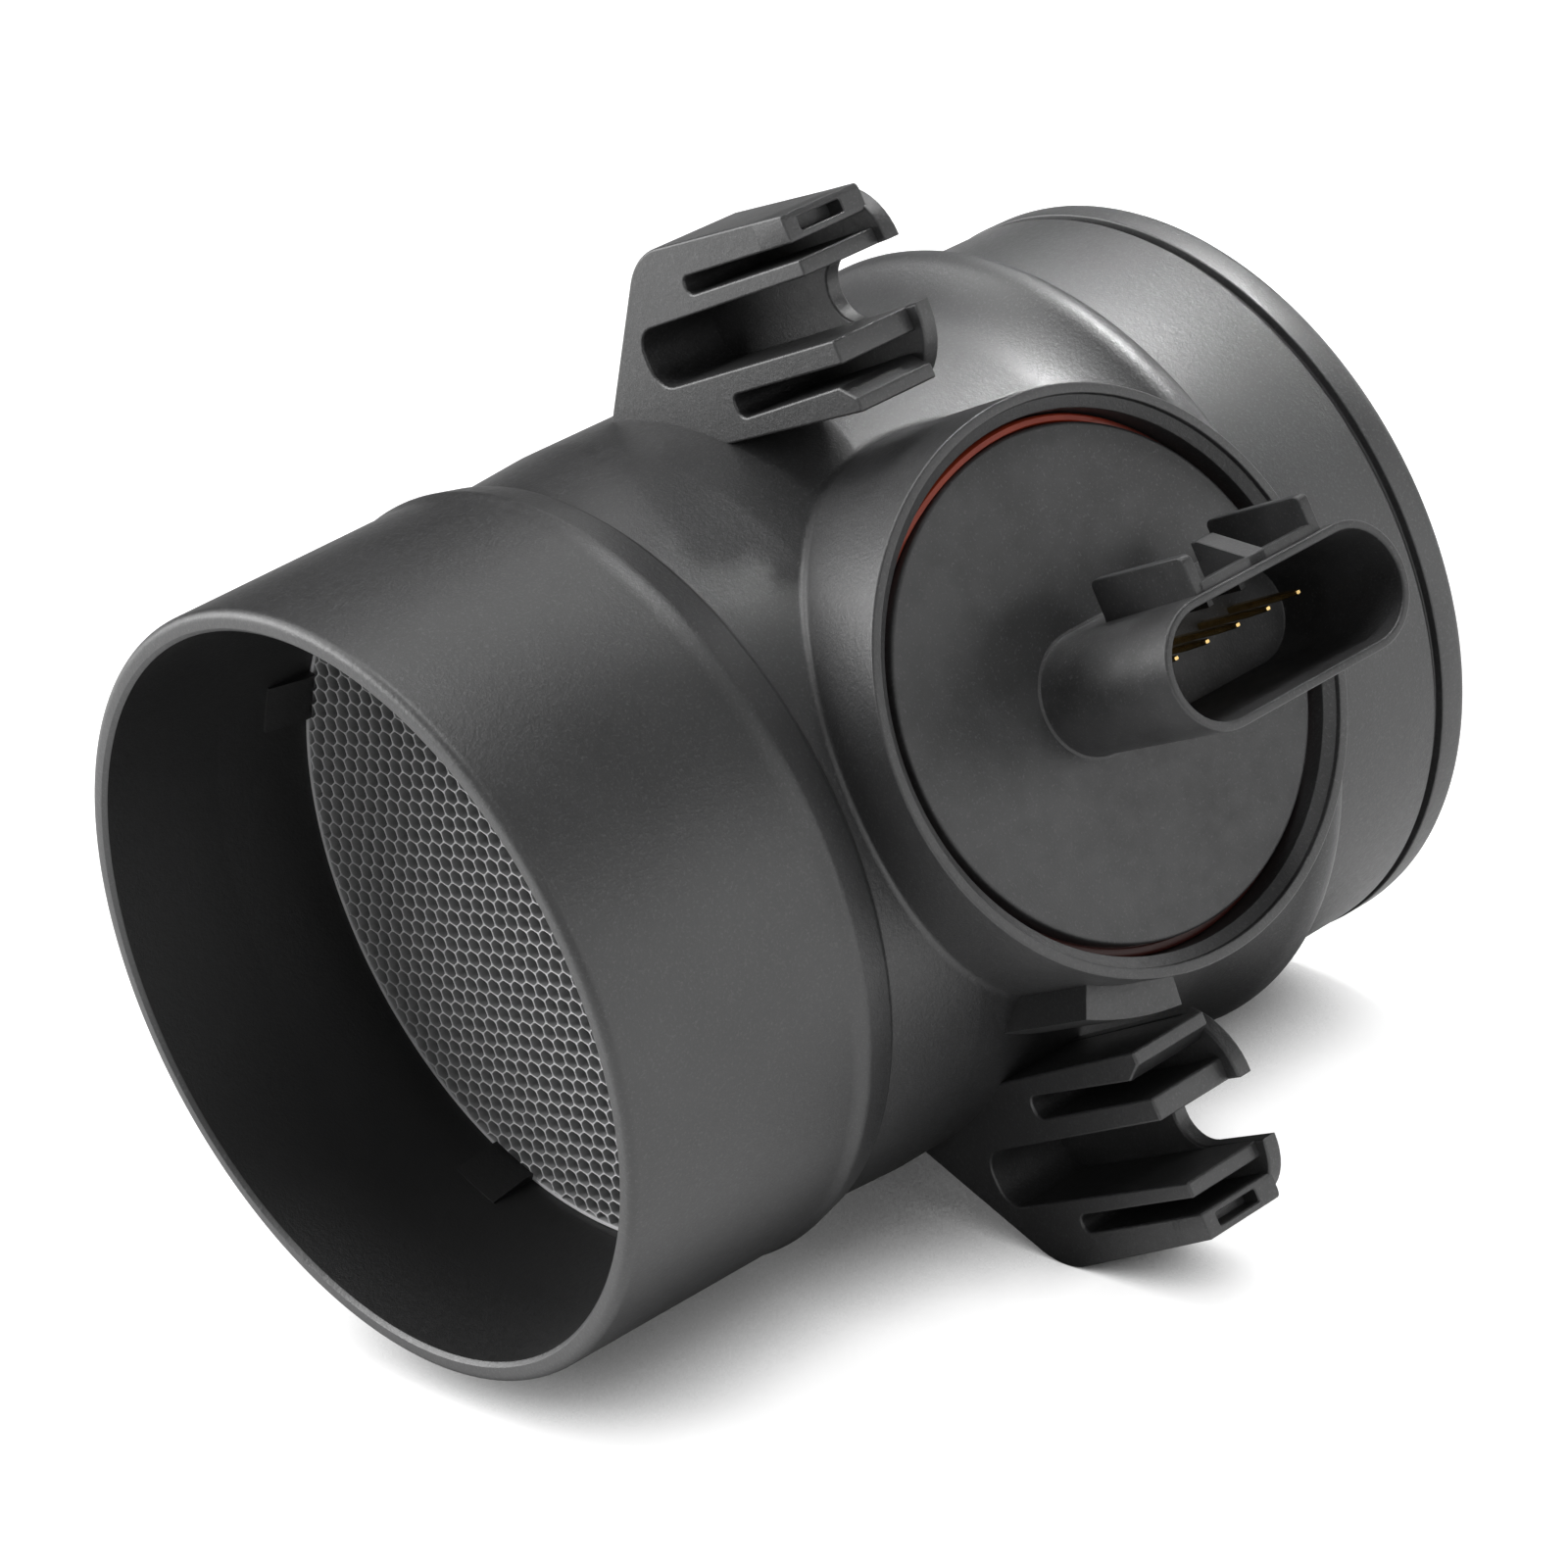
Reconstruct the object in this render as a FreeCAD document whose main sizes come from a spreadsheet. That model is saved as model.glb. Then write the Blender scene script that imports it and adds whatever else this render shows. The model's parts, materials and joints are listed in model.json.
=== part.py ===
import FreeCAD, Part
import math
import os
import re

import Sketcher
from FreeCAD import Placement, Rotation, Vector

# Mass airflow sensor: a moulded duct with a sensing puck on its side and two fork brackets.
# Design axes: X is the way the air flows, Z points out of the puck, Y across both.
# The whole part is turned about X to lie as it would on a table, so that the model's +Z is up.
# All lengths are in millimetres.

SIZES = {
    # duct: bores, each a step out from the middle bore, and the walls round them
    "middle_bore_radius": 45.6,
    "middle_wall": 5.2,
    "inlet_bore_step": 2.5,
    "inlet_lip_wall": 2.8,
    "inlet_wall": 3.4,
    "seat_step": 1.9,
    "outlet_bore_step": 2.6,
    "outlet_wall": 4.1,
    "outlet_bore_length": 20.8,
    "bore_taper_length": 4.0,
    # duct: outside, from the inlet lip at X = 0 to the outlet lip
    "inlet_ridge_x": 40.4,
    "ridge_length": 6.0,
    "ridge_rise": 0.4,
    "neck_gap": 2.2,
    "neck_depth": 1.1,
    "neck_length": 14.4,
    "flare_lead": 13.9,
    "flare_length": 12.4,
    "flare_round": 14.5,
    "crest_rise": 4.9,
    "crest_round": 3.2,
    "crest_front_turn": 45.0,
    "crest_back_turn": 53.13,
    "crest_foot_length": 3.84,
    "outlet_length": 29.2,
    "lip_length": 4.7,
    "lip_rise": 0.2,
    "lip_groove_width": 1.4,
    "lip_groove_depth": 1.1,
    "lip_chamfer": 0.8,
    "cut_overrun": 1.0,
    # flow straightener, its seat and the snap tabs in front of it
    "straightener_face_x": 32.1,
    "straightener_depth": 10.0,
    "straightener_clearance": 0.1,
    "straightener_cell": 9.3,
    "straightener_wall": 0.6,
    "straightener_rim": 0.8,
    "seat_lead": 0.4,
    "tab_length": 6.7,
    "tab_flat": 1.2,
    "tab_height": 1.1,
    "tab_root": 0.3,
    "tab_turn": 9.0,
    # puck cup
    "cup_margin": 1.9,
    "cup_radius": 36.3,
    "cup_wall": 2.9,
    "cup_ledge": 2.8,
    "cup_rise": 8.9,
    "cup_depth": 6.3,
    "cup_well_depth": 3.4,
    "cup_sink": 2.5,
    "cup_foot_round": 1.4,
    "cup_rim_chamfer": 0.4,
    # fork brackets, each a comb of ribs on a back plate, set out from the middle of the throat
    "fork_setback": 15.6,
    "fork_depth": 14.3,
    "fork_plate": 2.3,
    "fork_rise": 3.2,
    "fork_corner_out": 3.7,
    "fork_corner_z": 27.7,
    "fork_corner_round": 10.0,
    "fork_tip_out": 11.8,
    "fork_foot_in": 8.0,
    "fork_inner_in": 13.3,
    "fork_inner_foot_z": 18.0,
    "throat_gap": 4.2,
    "throat_width": 8.2,
    "throat_depth": 12.9,
    "middle_slot_out": 0.95,
    "middle_slot_width": 7.7,
    "middle_slot_drop": 10.1,
    "middle_slot_round": 3.28,
    "side_slot_rise": 3.3,
    "side_slot_round": 0.96,
    "outer_slot_out": 8.0,
    "outer_slot_width": 2.4,
    "outer_slot_mouth_out": 7.25,
    "outer_slot_mouth": 2.1,
    "inner_slot_in": 7.9,
    "inner_slot_width": 3.1,
    "inner_slot_mouth_in": 8.4,
    "inner_slot_mouth": 2.5,
    "outer_tip_round": 8.0,
    "outer_tip_reach": 7.76,
    "outer_tip_rise": 1.62,
    "outer_tip_drop": 4.4,
    "inner_tip_round": 9.5,
    "inner_tip_rise": 2.0,
    "inner_tip_drop": 3.9,
    "tip_window_setback": 5.7,
    "tip_window_length": 6.9,
    "tip_window_width": 1.7,
    "tip_window_depth": 6.0,
    # cover of the puck, with the connector shroud
    "cover_gap": 1.5,
    "cover_drop": 2.2,
    "cover_skirt_clearance": 0.4,
    "cover_skirt_wall": 1.8,
    "cover_edge_chamfer": 0.3,
    "shroud_margin": 2.75,
    "shroud_y": -0.4,
    "shroud_half_straight": 12.25,
    "shroud_mouth_radius": 8.1,
    "shroud_foot_radius": 7.6,
    "shroud_wall": 1.15,
    "shroud_height": 24.3,
    "socket_floor_rise": 3.0,
    "guard_spread": 20.2,
    "guard_wall": 1.6,
    "guard_height": 4.9,
    "guard_foot_rise": 6.1,
    "guard_gap_to_mouth": 0.9,
    "latch_root": 0.9,
    "latch_width": 2.0,
    "latch_tip_height": 0.6,
    "latch_rise": 3.3,
    "latch_length": 8.0,
    "latch_bar_height": 1.2,
    "latch_bar_length": 1.6,
    "key_width": 1.0,
    "key_height": 1.9,
    "key_gap": 2.4,
    "key_offset": 5.7,
    "key_spread": 5.7,
    "key_rise": 6.0,
    # seal between cover and cup
    "seal_thickness": 1.2,
    "seal_clearance": 0.1,
    "seal_drop": 3.1,
    "seal_lip_height": 0.5,
    "seal_lip_width": 0.4,
    # terminal pins, moulded through the cover
    "pin_pitch": 5.36,
    "pin_y": 1.0,
    "pin_width": 1.5,
    "pin_thickness": 0.8,
    "pin_rise": 12.5,
    "pin_tip_width": 0.9,
    "pin_tip_length": 1.6,
    # base plate, circuit board and what is soldered on it
    "base_clearance": 0.6,
    "base_thickness": 1.5,
    "board_margin": 1.38,
    "board_width": 26.0,
    "board_thickness": 1.0,
    "case_chamfer": 0.22,
    "chip_length": 9.0,
    "chip_width": 8.0,
    "chip_height": 1.5,
    "chip_inset": 6.8,
    "chip_y": -7.5,
    "transistor_length": 6.6,
    "transistor_width": 6.0,
    "transistor_height": 1.7,
    "transistor_inset": 7.8,
    "transistor_y": -8.2,
    "capacitor_length": 3.2,
    "capacitor_width": 1.6,
    "capacitor_height": 1.3,
    "capacitor_setback": 6.0,
    "capacitor_pitch": 8.0,
    "capacitor_y": 9.6,
    # bypass duct, which hangs from the cup floor into the air
    "bypass_length": 27.4,
    "bypass_width": 15.4,
    "bypass_tip_z": 10.0,
    "bypass_clearance": 0.3,
    "bypass_flange_length": 34.0,
    "bypass_flange_width": 22.0,
    "bypass_flange_depth": 2.0,
    "bypass_nose_round": 5.0,
    "passage_width": 8.4,
    "passage_low_z": 14.5,
    "passage_high_z": 34.0,
    # sensing elements on their prongs, in the passage
    "prong_side": 0.8,
    "prong_spread": 5.2,
    "prong_stand": 0.6,
    "element_z": 23.0,
    "element_overhang": 1.2,
    "element_pitch": 7.6,
    "heated_thickness": 0.5,
    "heated_height": 2.4,
    "reference_thickness": 0.5,
    "reference_height": 3.4,
    "thermistor_radius": 1.3,
    "thermistor_chamfer": 0.5,
}

# Sizes and places that follow from the sizes above.
PLACES = {
    "middle_radius": "middle_bore_radius + middle_wall",
    "inlet_bore_radius": "middle_bore_radius + inlet_bore_step",
    "inlet_lip_radius": "inlet_bore_radius + inlet_lip_wall",
    "inlet_barrel_radius": "inlet_bore_radius + inlet_wall",
    "inlet_ridge_radius": "inlet_barrel_radius + ridge_rise",
    "seat_bore_radius": "middle_bore_radius + seat_step",
    "neck_x": "inlet_ridge_x + neck_gap",
    "neck_radius": "middle_radius - neck_depth",
    "middle_start_x": "neck_x + neck_length",
    "cup_x": "neck_x + cup_margin + cup_radius",
    "flare_start_x": "cup_x + cup_radius - flare_lead",
    "crest_x": "flare_start_x + flare_length",
    "crest_radius": "middle_radius + crest_rise",
    "duct_length": "crest_x + outlet_length",
    "outlet_bore_radius": "middle_bore_radius + outlet_bore_step",
    "outlet_barrel_radius": "outlet_bore_radius + outlet_wall",
    "outlet_bore_start_x": "duct_length - outlet_bore_length",
    "lip_radius": "outlet_barrel_radius + lip_rise",
    "lip_groove_radius": "outlet_barrel_radius - lip_groove_depth",
    "tab_start_x": "straightener_face_x - tab_length",
    "cup_bore_radius": "cup_radius - cup_wall",
    "cup_well_radius": "cup_bore_radius - cup_ledge",
    "cup_rim_z": "middle_radius + cup_rise",
    "cup_ledge_z": "cup_rim_z - cup_depth",
    "cup_floor_z": "cup_ledge_z - cup_well_depth",
    "fork_front_x": "cup_x - fork_setback",
    "fork_end_z": "middle_radius + fork_rise",
    "throat_y": "middle_radius + throat_gap",
    "throat_floor_z": "fork_end_z - throat_depth",
    "fork_corner_y": "throat_y + fork_corner_out",
    "fork_tip_y": "throat_y + fork_tip_out",
    "fork_foot_y": "throat_y - fork_foot_in",
    "fork_inner_y": "throat_y - fork_inner_in",
    "middle_slot_z": "fork_corner_z - middle_slot_drop",
    "side_slot_z": "fork_corner_z + side_slot_rise",
    "cover_radius": "cup_bore_radius - cover_gap",
    "cover_top_z": "cup_rim_z - cover_drop",
    "cover_low_z": "cup_ledge_z + seal_thickness",
    "cover_skirt_radius": "cup_well_radius - cover_skirt_clearance",
    "shroud_x": "cup_x + cover_radius - shroud_margin - shroud_foot_radius - shroud_half_straight",
    "shroud_mouth_z": "cover_top_z + shroud_height",
    "socket_floor_z": "cover_top_z + socket_floor_rise",
    "guard_foot_z": "cover_top_z + guard_foot_rise",
    "seal_top_z": "cup_rim_z - seal_drop",
    "pin_tip_z": "socket_floor_z + pin_rise",
    "base_radius": "cover_skirt_radius - cover_skirt_wall - base_clearance",
    "board_length": "2 * sqrt((base_radius - board_margin) ^ 2 - (board_width / 2) ^ 2)",
    "board_top_z": "cup_floor_z + base_thickness + board_thickness",
    "chip_x": "cup_x - board_length / 2 + chip_inset",
    "transistor_x": "cup_x + board_length / 2 - transistor_inset",
    "capacitor_first_x": "cup_x - capacitor_setback",
    # The elevation of the puck's axis when the crest and the lower bracket's corner touch the
    # table: the corner's centre turns about X until its round is as low as the crest.
    "lying_turn": "90 deg + atan(fork_corner_z / fork_corner_y)"
                  " - acos((crest_radius - fork_corner_round) / hypot(fork_corner_y; fork_corner_z))",
}

PIN_COUNT = 5
TAB_COUNT = 4
FIRST_TAB_TURN = 45
CAPACITOR_COUNT = 3
ELEMENTS = ("thermistor", "reference", "heated")
# the share of a whole cell that a cell cut by the straightener's rim needs, to be left open
SMALLEST_CELL = 0.2
# how near an edge lies to the place it is looked for at
NEAR = 0.02

doc = FreeCAD.newDocument("mass_airflow_sensor")
sheet = doc.addObject("Spreadsheet::Sheet", "Sizes")
for row, (alias, value) in enumerate(SIZES.items(), start=1):
    sheet.set("A%d" % row, alias)
    sheet.set("B%d" % row, str(value))
    sheet.setAlias("B%d" % row, alias)
doc.recompute()


def bound(text):
    """An expression on the sheet's cells, from one written with bare names of sizes and places."""
    def spell(found):
        word = found[0]
        if word in PLACES:
            return "(%s)" % bound(PLACES[word])
        return "Sizes." + word if word in SIZES else word
    return re.sub(r"[a-z_]+", spell, str(text))


def number(text):
    """The value of such an expression as a plain number."""
    found = probe.evalExpression(bound(text))
    return float(getattr(found, "Value", found))


probe = doc.addObject("App::FeaturePython", "Probe")
subparts = []


def lay_down(piece):
    """Turns a finished piece about X, from design axes to the way the part lies."""
    piece.Placement = Placement(Vector(), Rotation(Vector(1, 0, 0), 1))
    piece.setExpression("Placement.Rotation.Angle", bound("lying_turn"))


def new_body(label):
    body = doc.addObject("PartDesign::Body", label)
    body.Label = label
    lay_down(body)
    subparts.append(body)
    return body


def new_sketch(body, name, plane, offset="0"):
    """A sketch on one of the body's own origin planes, moved along its normal."""
    sketch = body.newObject("Sketcher::SketchObject", name)
    support = [o for o in body.Origin.OriginFeatures if o.Role == plane][0]
    sketch.AttachmentSupport = [(support, "")]
    sketch.MapMode = "FlatFace"
    if offset != "0":
        sketch.setExpression("AttachmentOffset.Base.z", bound(offset))
    return sketch


def hold_point(sketch, geometry, end, across, up):
    """Binds one point of a sketch to its two coordinates."""
    for kind, text in (("DistanceX", across), ("DistanceY", up)):
        index = sketch.addConstraint(
            Sketcher.Constraint(kind, -1, 1, geometry, end, number(text))
        )
        sketch.setExpression("Constraints[%d]" % index, bound(text))


def draw_outline(sketch, corners):
    """A closed outline. Each corner is (across, up), or (across, up, arc) where the edge that
    follows it is an arc: a radius, with a minus sign if the outline turns right along it, or
    the word left or right for a half circle that turns that way."""
    spots = [Vector(number(c[0]), number(c[1]), 0) for c in corners]
    first = sketch.GeometryCount
    for i, corner in enumerate(corners):
        start, end = spots[i], spots[(i + 1) % len(corners)]
        if len(corner) == 2:
            sketch.addGeometry(Part.LineSegment(start, end))
            continue
        chord = end - start
        if corner[2] in ("left", "right"):
            sagitta = chord.Length / 2
        else:
            radius = abs(number(corner[2]))
            sagitta = radius - math.sqrt(radius**2 - (chord.Length / 2) ** 2)
        side = Vector(chord.y, -chord.x, 0).normalize() * sagitta
        middle = (start + end) / 2 + (-side if turns_right(corner) else side)
        sketch.addGeometry(Part.Arc(start, middle, end))
    for i, corner in enumerate(corners):
        here = first + i
        after = first + (i + 1) % len(corners)
        # an arc is stored counterclockwise, so one that turns right starts at its second point
        start = 2 if turns_right(corner) else 1
        next_start = 2 if turns_right(corners[(i + 1) % len(corners)]) else 1
        hold_point(sketch, here, start, corner[0], corner[1])
        sketch.addConstraint(
            Sketcher.Constraint("Coincident", here, 3 - start, after, next_start)
        )
        if len(corner) == 2:
            continue
        if corner[2] in ("left", "right"):
            hold_half_circle(sketch, here, corner, corners[(i + 1) % len(corners)])
            continue
        index = sketch.addConstraint(
            Sketcher.Constraint("Radius", here, abs(number(corner[2])))
        )
        sketch.setExpression("Constraints[%d]" % index, bound(corner[2].lstrip("-")))


def turns_right(corner):
    return len(corner) == 3 and (corner[2] == "right" or corner[2].startswith("-"))


def hold_half_circle(sketch, arc, start, end):
    """Keeps the centre of a half circle level with its ends, along the axis they share."""
    level = abs(number(start[1]) - number(end[1])) < 1e-6
    kind, text = ("DistanceY", start[1]) if level else ("DistanceX", start[0])
    index = sketch.addConstraint(Sketcher.Constraint(kind, -1, 1, arc, 3, number(text)))
    sketch.setExpression("Constraints[%d]" % index, bound(text))


def draw_circle(sketch, across, up, radius):
    circle = sketch.addGeometry(
        Part.Circle(Vector(number(across), number(up), 0), Vector(0, 0, 1), number(radius))
    )
    hold_point(sketch, circle, 3, across, up)
    index = sketch.addConstraint(Sketcher.Constraint("Radius", circle, number(radius)))
    sketch.setExpression("Constraints[%d]" % index, bound(radius))


def draw_rectangle(sketch, across, up, length, width):
    """A rectangle about a centre."""
    low = "(%s) - (%s) / 2", "(%s) + (%s) / 2"
    left, right = (form % (across, length) for form in low)
    bottom, top = (form % (up, width) for form in low)
    draw_outline(sketch, [(left, bottom), (right, bottom), (right, top), (left, top)])


def draw_stadium(sketch, across, up, half_straight, radius):
    """A slot shape along the sketch's first axis."""
    left = "(%s) - (%s)" % (across, half_straight)
    right = "(%s) + (%s)" % (across, half_straight)
    low = "(%s) - (%s)" % (up, radius)
    high = "(%s) + (%s)" % (up, radius)
    draw_outline(sketch, [(left, low), (right, low, "left"), (right, high), (left, high, "left")])


def extrude(body, kind, name, sketch, length, flip=False, taper=None):
    feature = body.newObject("PartDesign::" + kind, name)
    feature.Profile = sketch
    feature.setExpression("Length", bound(length))
    feature.Reversed = flip
    if taper:
        feature.setExpression("TaperAngle", bound(taper))
    return feature


def turn(body, kind, name, sketch, axis, angle="360"):
    feature = body.newObject("PartDesign::" + kind, name)
    feature.Profile = sketch
    feature.ReferenceAxis = (sketch, [axis])
    feature.setExpression("Angle", bound(angle))
    return feature


def finish_edges(body, kind, name, size, wanted):
    """A Fillet or Chamfer on the edges of the body's last feature for which wanted(edge) is
    true."""
    doc.recompute()
    base = body.Tip
    names = ["Edge%d" % (i + 1) for i, edge in enumerate(base.Shape.Edges) if wanted(edge)]
    feature = body.newObject("PartDesign::" + kind, name)
    feature.Base = (base, names)
    feature.setExpression({"Fillet": "Radius", "Chamfer": "Size"}[kind], bound(size))
    doc.recompute()


def is_ring_at_x(edge, place, radius):
    """Whether an edge is part of a circle about the duct's axis."""
    curve = edge.Curve
    return (
        isinstance(curve, Part.Circle)
        and abs(curve.Axis.x) > 0.99
        and abs(curve.Center.x - number(place)) < NEAR
        and abs(curve.Radius - number(radius)) < NEAR
    )


def is_ring_at_z(edge, place, radius):
    """Whether an edge is part of a circle about the puck's axis."""
    curve = edge.Curve
    return (
        isinstance(curve, Part.Circle)
        and abs(curve.Center.z - number(place)) < NEAR
        and abs(curve.Radius - number(radius)) < NEAR
    )


def lies_on_cup(edge, cup_x, radius, rim_z):
    """Whether an edge is where the cup's wall meets the duct: on the wall, below the rim and not
    upright."""
    spots = edge.discretize(9)
    return (
        not isinstance(edge.Curve, Part.Line)
        and max(abs(math.hypot(p.x - cup_x, p.y) - radius) for p in spots) < NEAR
        and max(p.z for p in spots) < rim_z - NEAR
    )


def runs_along_x(edge, y, z):
    """Whether an edge is a straight line along X at a place in the YZ plane, on either side."""
    if not isinstance(edge.Curve, Part.Line):
        return False
    ends = [v.Point for v in edge.Vertexes]
    return all(abs(abs(p.y) - y) < NEAR and abs(p.z - z) < NEAR for p in ends)


def make_housing():
    """Duct, cup and both fork brackets, moulded as one."""
    body = new_body("sensor_housing")

    barrel = new_sketch(body, "barrel_outline", "XZ_Plane")
    crest_front = ("crest_x - crest_round * sin(crest_front_turn)",
                   "crest_radius - crest_round * (1 - cos(crest_front_turn))", "-flare_round")
    crest_back = ("crest_x + crest_round * sin(crest_back_turn)",
                  "crest_radius - crest_round * (1 - cos(crest_back_turn))", "crest_round")
    draw_outline(barrel, [
        ("0", "0"),
        ("duct_length", "0"),
        ("duct_length", "lip_radius"),
        ("duct_length - lip_length", "lip_radius"),
        ("duct_length - lip_length", "lip_groove_radius"),
        ("duct_length - lip_length - lip_groove_width", "lip_groove_radius"),
        ("duct_length - lip_length - lip_groove_width", "outlet_barrel_radius"),
        ("crest_x + crest_foot_length", "outlet_barrel_radius"),
        crest_back,
        crest_front,
        ("flare_start_x", "middle_radius"),
        ("middle_start_x", "middle_radius"),
        ("neck_x", "neck_radius"),
        ("inlet_ridge_x", "inlet_ridge_radius"),
        ("inlet_ridge_x - ridge_length", "inlet_barrel_radius"),
        ("0", "inlet_lip_radius"),
    ])
    turn(body, "Revolution", "barrel", barrel, "H_Axis")

    cup = new_sketch(body, "cup_outline", "XY_Plane", "cup_rim_z")
    draw_circle(cup, "cup_x", "0", "cup_radius")
    extrude(body, "Pad", "cup", cup,
            "cup_rim_z - sqrt(middle_radius ^ 2 - cup_radius ^ 2) + cup_sink", flip=True)
    cup_x, cup_radius, rim_z = number("cup_x"), number("cup_radius"), number("cup_rim_z")
    finish_edges(body, "Fillet", "cup_foot_round", "cup_foot_round",
                 lambda e: lies_on_cup(e, cup_x, cup_radius, rim_z))

    comb, plate, window = add_bracket(body)
    mirror = body.newObject("PartDesign::Mirrored", "lower_bracket")
    mirror.Originals = [comb, plate, window]
    middle = [o for o in body.Origin.OriginFeatures if o.Role == "XZ_Plane"][0]
    mirror.MirrorPlane = (middle, [""])
    body.Tip = mirror
    doc.recompute()

    cut_duct_bore(body)
    cut_cup(body)
    add_snap_tabs(body)
    finish_housing(body)


OUTER_SLOT_MOUTH_EDGE = "throat_y + outer_slot_mouth_out + outer_slot_mouth / 2"
OUTER_SLOT_SIDES = ("throat_y + outer_slot_out + outer_slot_width / 2",
                    "throat_y + outer_slot_out - outer_slot_width / 2")
MIDDLE_SLOT_SIDES = ("throat_y + middle_slot_out + middle_slot_width / 2",
                     "throat_y + middle_slot_out - middle_slot_width / 2")
INNER_SLOT_SIDES = ("throat_y - inner_slot_in + inner_slot_width / 2",
                    "throat_y - inner_slot_in - inner_slot_width / 2")


def add_bracket(body):
    """The upper bracket: a comb of ribs in front, a plate with the throat behind."""
    corner_out = "fork_corner_y + fork_corner_round"
    slant_y = "fork_corner_y + fork_corner_round * sqrt(0.5)"
    slant_z = "fork_corner_z - fork_corner_round * sqrt(0.5)"
    foot = ("fork_foot_y", "%s - (%s - fork_foot_y)" % (slant_z, slant_y))
    inner_foot = ("fork_inner_y", "fork_inner_foot_z")
    throat_low = "throat_y - throat_width / 2"
    throat_high = "throat_y + throat_width / 2"

    comb_outline = new_sketch(body, "comb_outline", "YZ_Plane", "fork_front_x")
    draw_outline(comb_outline, [
        foot,
        (slant_y, slant_z, "fork_corner_round"),
        (corner_out, "fork_corner_z"),
        ("fork_tip_y", "fork_end_z"),
        (OUTER_SLOT_MOUTH_EDGE, "fork_end_z"),
        (OUTER_SLOT_SIDES[0], "side_slot_z"),
        (OUTER_SLOT_SIDES[1], "side_slot_z"),
        ("throat_y + outer_slot_mouth_out - outer_slot_mouth / 2", "fork_end_z"),
        (throat_high, "fork_end_z"),
        (MIDDLE_SLOT_SIDES[0], "middle_slot_z"),
        (MIDDLE_SLOT_SIDES[1], "middle_slot_z"),
        (throat_low, "fork_end_z"),
        ("throat_y - inner_slot_mouth_in + inner_slot_mouth / 2", "fork_end_z"),
        (INNER_SLOT_SIDES[0], "side_slot_z"),
        (INNER_SLOT_SIDES[1], "side_slot_z"),
        ("throat_y - inner_slot_mouth_in - inner_slot_mouth / 2", "fork_end_z"),
        ("fork_inner_y", "fork_end_z"),
        inner_foot,
    ])
    comb = extrude(body, "Pad", "comb", comb_outline, "fork_depth - fork_plate")

    plate_outline = new_sketch(body, "plate_outline", "YZ_Plane",
                               "fork_front_x + fork_depth - fork_plate")
    draw_outline(plate_outline, [
        foot,
        (slant_y, slant_z, "fork_corner_round"),
        (corner_out, "fork_corner_z"),
        (throat_high + " + outer_tip_reach", "fork_end_z - outer_tip_drop", "outer_tip_round"),
        (throat_high, "fork_end_z + outer_tip_rise"),
        (throat_high, "throat_floor_z + throat_width / 2", "right"),
        (throat_low, "throat_floor_z + throat_width / 2"),
        (throat_low, "fork_end_z + inner_tip_rise", "inner_tip_round"),
        ("fork_inner_y", "fork_end_z - inner_tip_drop"),
        inner_foot,
    ])
    plate = extrude(body, "Pad", "back_plate", plate_outline, "fork_plate")

    window_outline = new_sketch(body, "tip_window_outline", "XY_Plane", "fork_end_z")
    draw_rectangle(window_outline, "fork_front_x + tip_window_setback",
                   "(fork_tip_y + %s) / 2" % OUTER_SLOT_MOUTH_EDGE,
                   "tip_window_length", "tip_window_width")
    window = extrude(body, "Pocket", "tip_window", window_outline, "tip_window_depth")
    return comb, plate, window


def cut_duct_bore(body):
    """The air way: inlet bore, seat of the straightener, middle bore, outlet bore."""
    bore = new_sketch(body, "bore_outline", "XZ_Plane")
    seat_x = "straightener_face_x + straightener_depth"
    draw_outline(bore, [
        ("-1 * cut_overrun", "0"),
        ("duct_length + cut_overrun", "0"),
        ("duct_length + cut_overrun", "outlet_bore_radius"),
        ("outlet_bore_start_x", "outlet_bore_radius"),
        ("outlet_bore_start_x - bore_taper_length", "middle_bore_radius"),
        (seat_x, "middle_bore_radius"),
        (seat_x, "seat_bore_radius"),
        ("tab_start_x - seat_lead", "seat_bore_radius"),
        ("tab_start_x - seat_lead", "inlet_bore_radius"),
        ("-1 * cut_overrun", "inlet_bore_radius"),
    ])
    turn(body, "Groove", "bore", bore, "H_Axis")
    doc.recompute()


def cut_cup(body):
    """The cup's stepped bore and the hole in its floor for the bypass duct."""
    mouth = new_sketch(body, "cup_mouth_outline", "XY_Plane", "cup_rim_z")
    draw_circle(mouth, "cup_x", "0", "cup_bore_radius")
    extrude(body, "Pocket", "cup_mouth", mouth, "cup_rim_z - cup_ledge_z")
    well = new_sketch(body, "cup_well_outline", "XY_Plane", "cup_ledge_z")
    draw_circle(well, "cup_x", "0", "cup_well_radius")
    extrude(body, "Pocket", "cup_well", well, "cup_ledge_z - cup_floor_z")
    recess = new_sketch(body, "flange_recess_outline", "XY_Plane", "cup_floor_z")
    draw_rectangle(recess, "cup_x", "0", "bypass_flange_length + 2 * bypass_clearance",
                   "bypass_flange_width + 2 * bypass_clearance")
    extrude(body, "Pocket", "flange_recess", recess, "bypass_flange_depth")
    hole = new_sketch(body, "bypass_hole_outline", "XY_Plane", "cup_floor_z - bypass_flange_depth")
    draw_rectangle(hole, "cup_x", "0", "bypass_length + 2 * bypass_clearance",
                   "bypass_width + 2 * bypass_clearance")
    extrude(body, "Pocket", "bypass_hole", hole, "cup_floor_z - middle_bore_radius + cut_overrun")
    doc.recompute()


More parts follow.
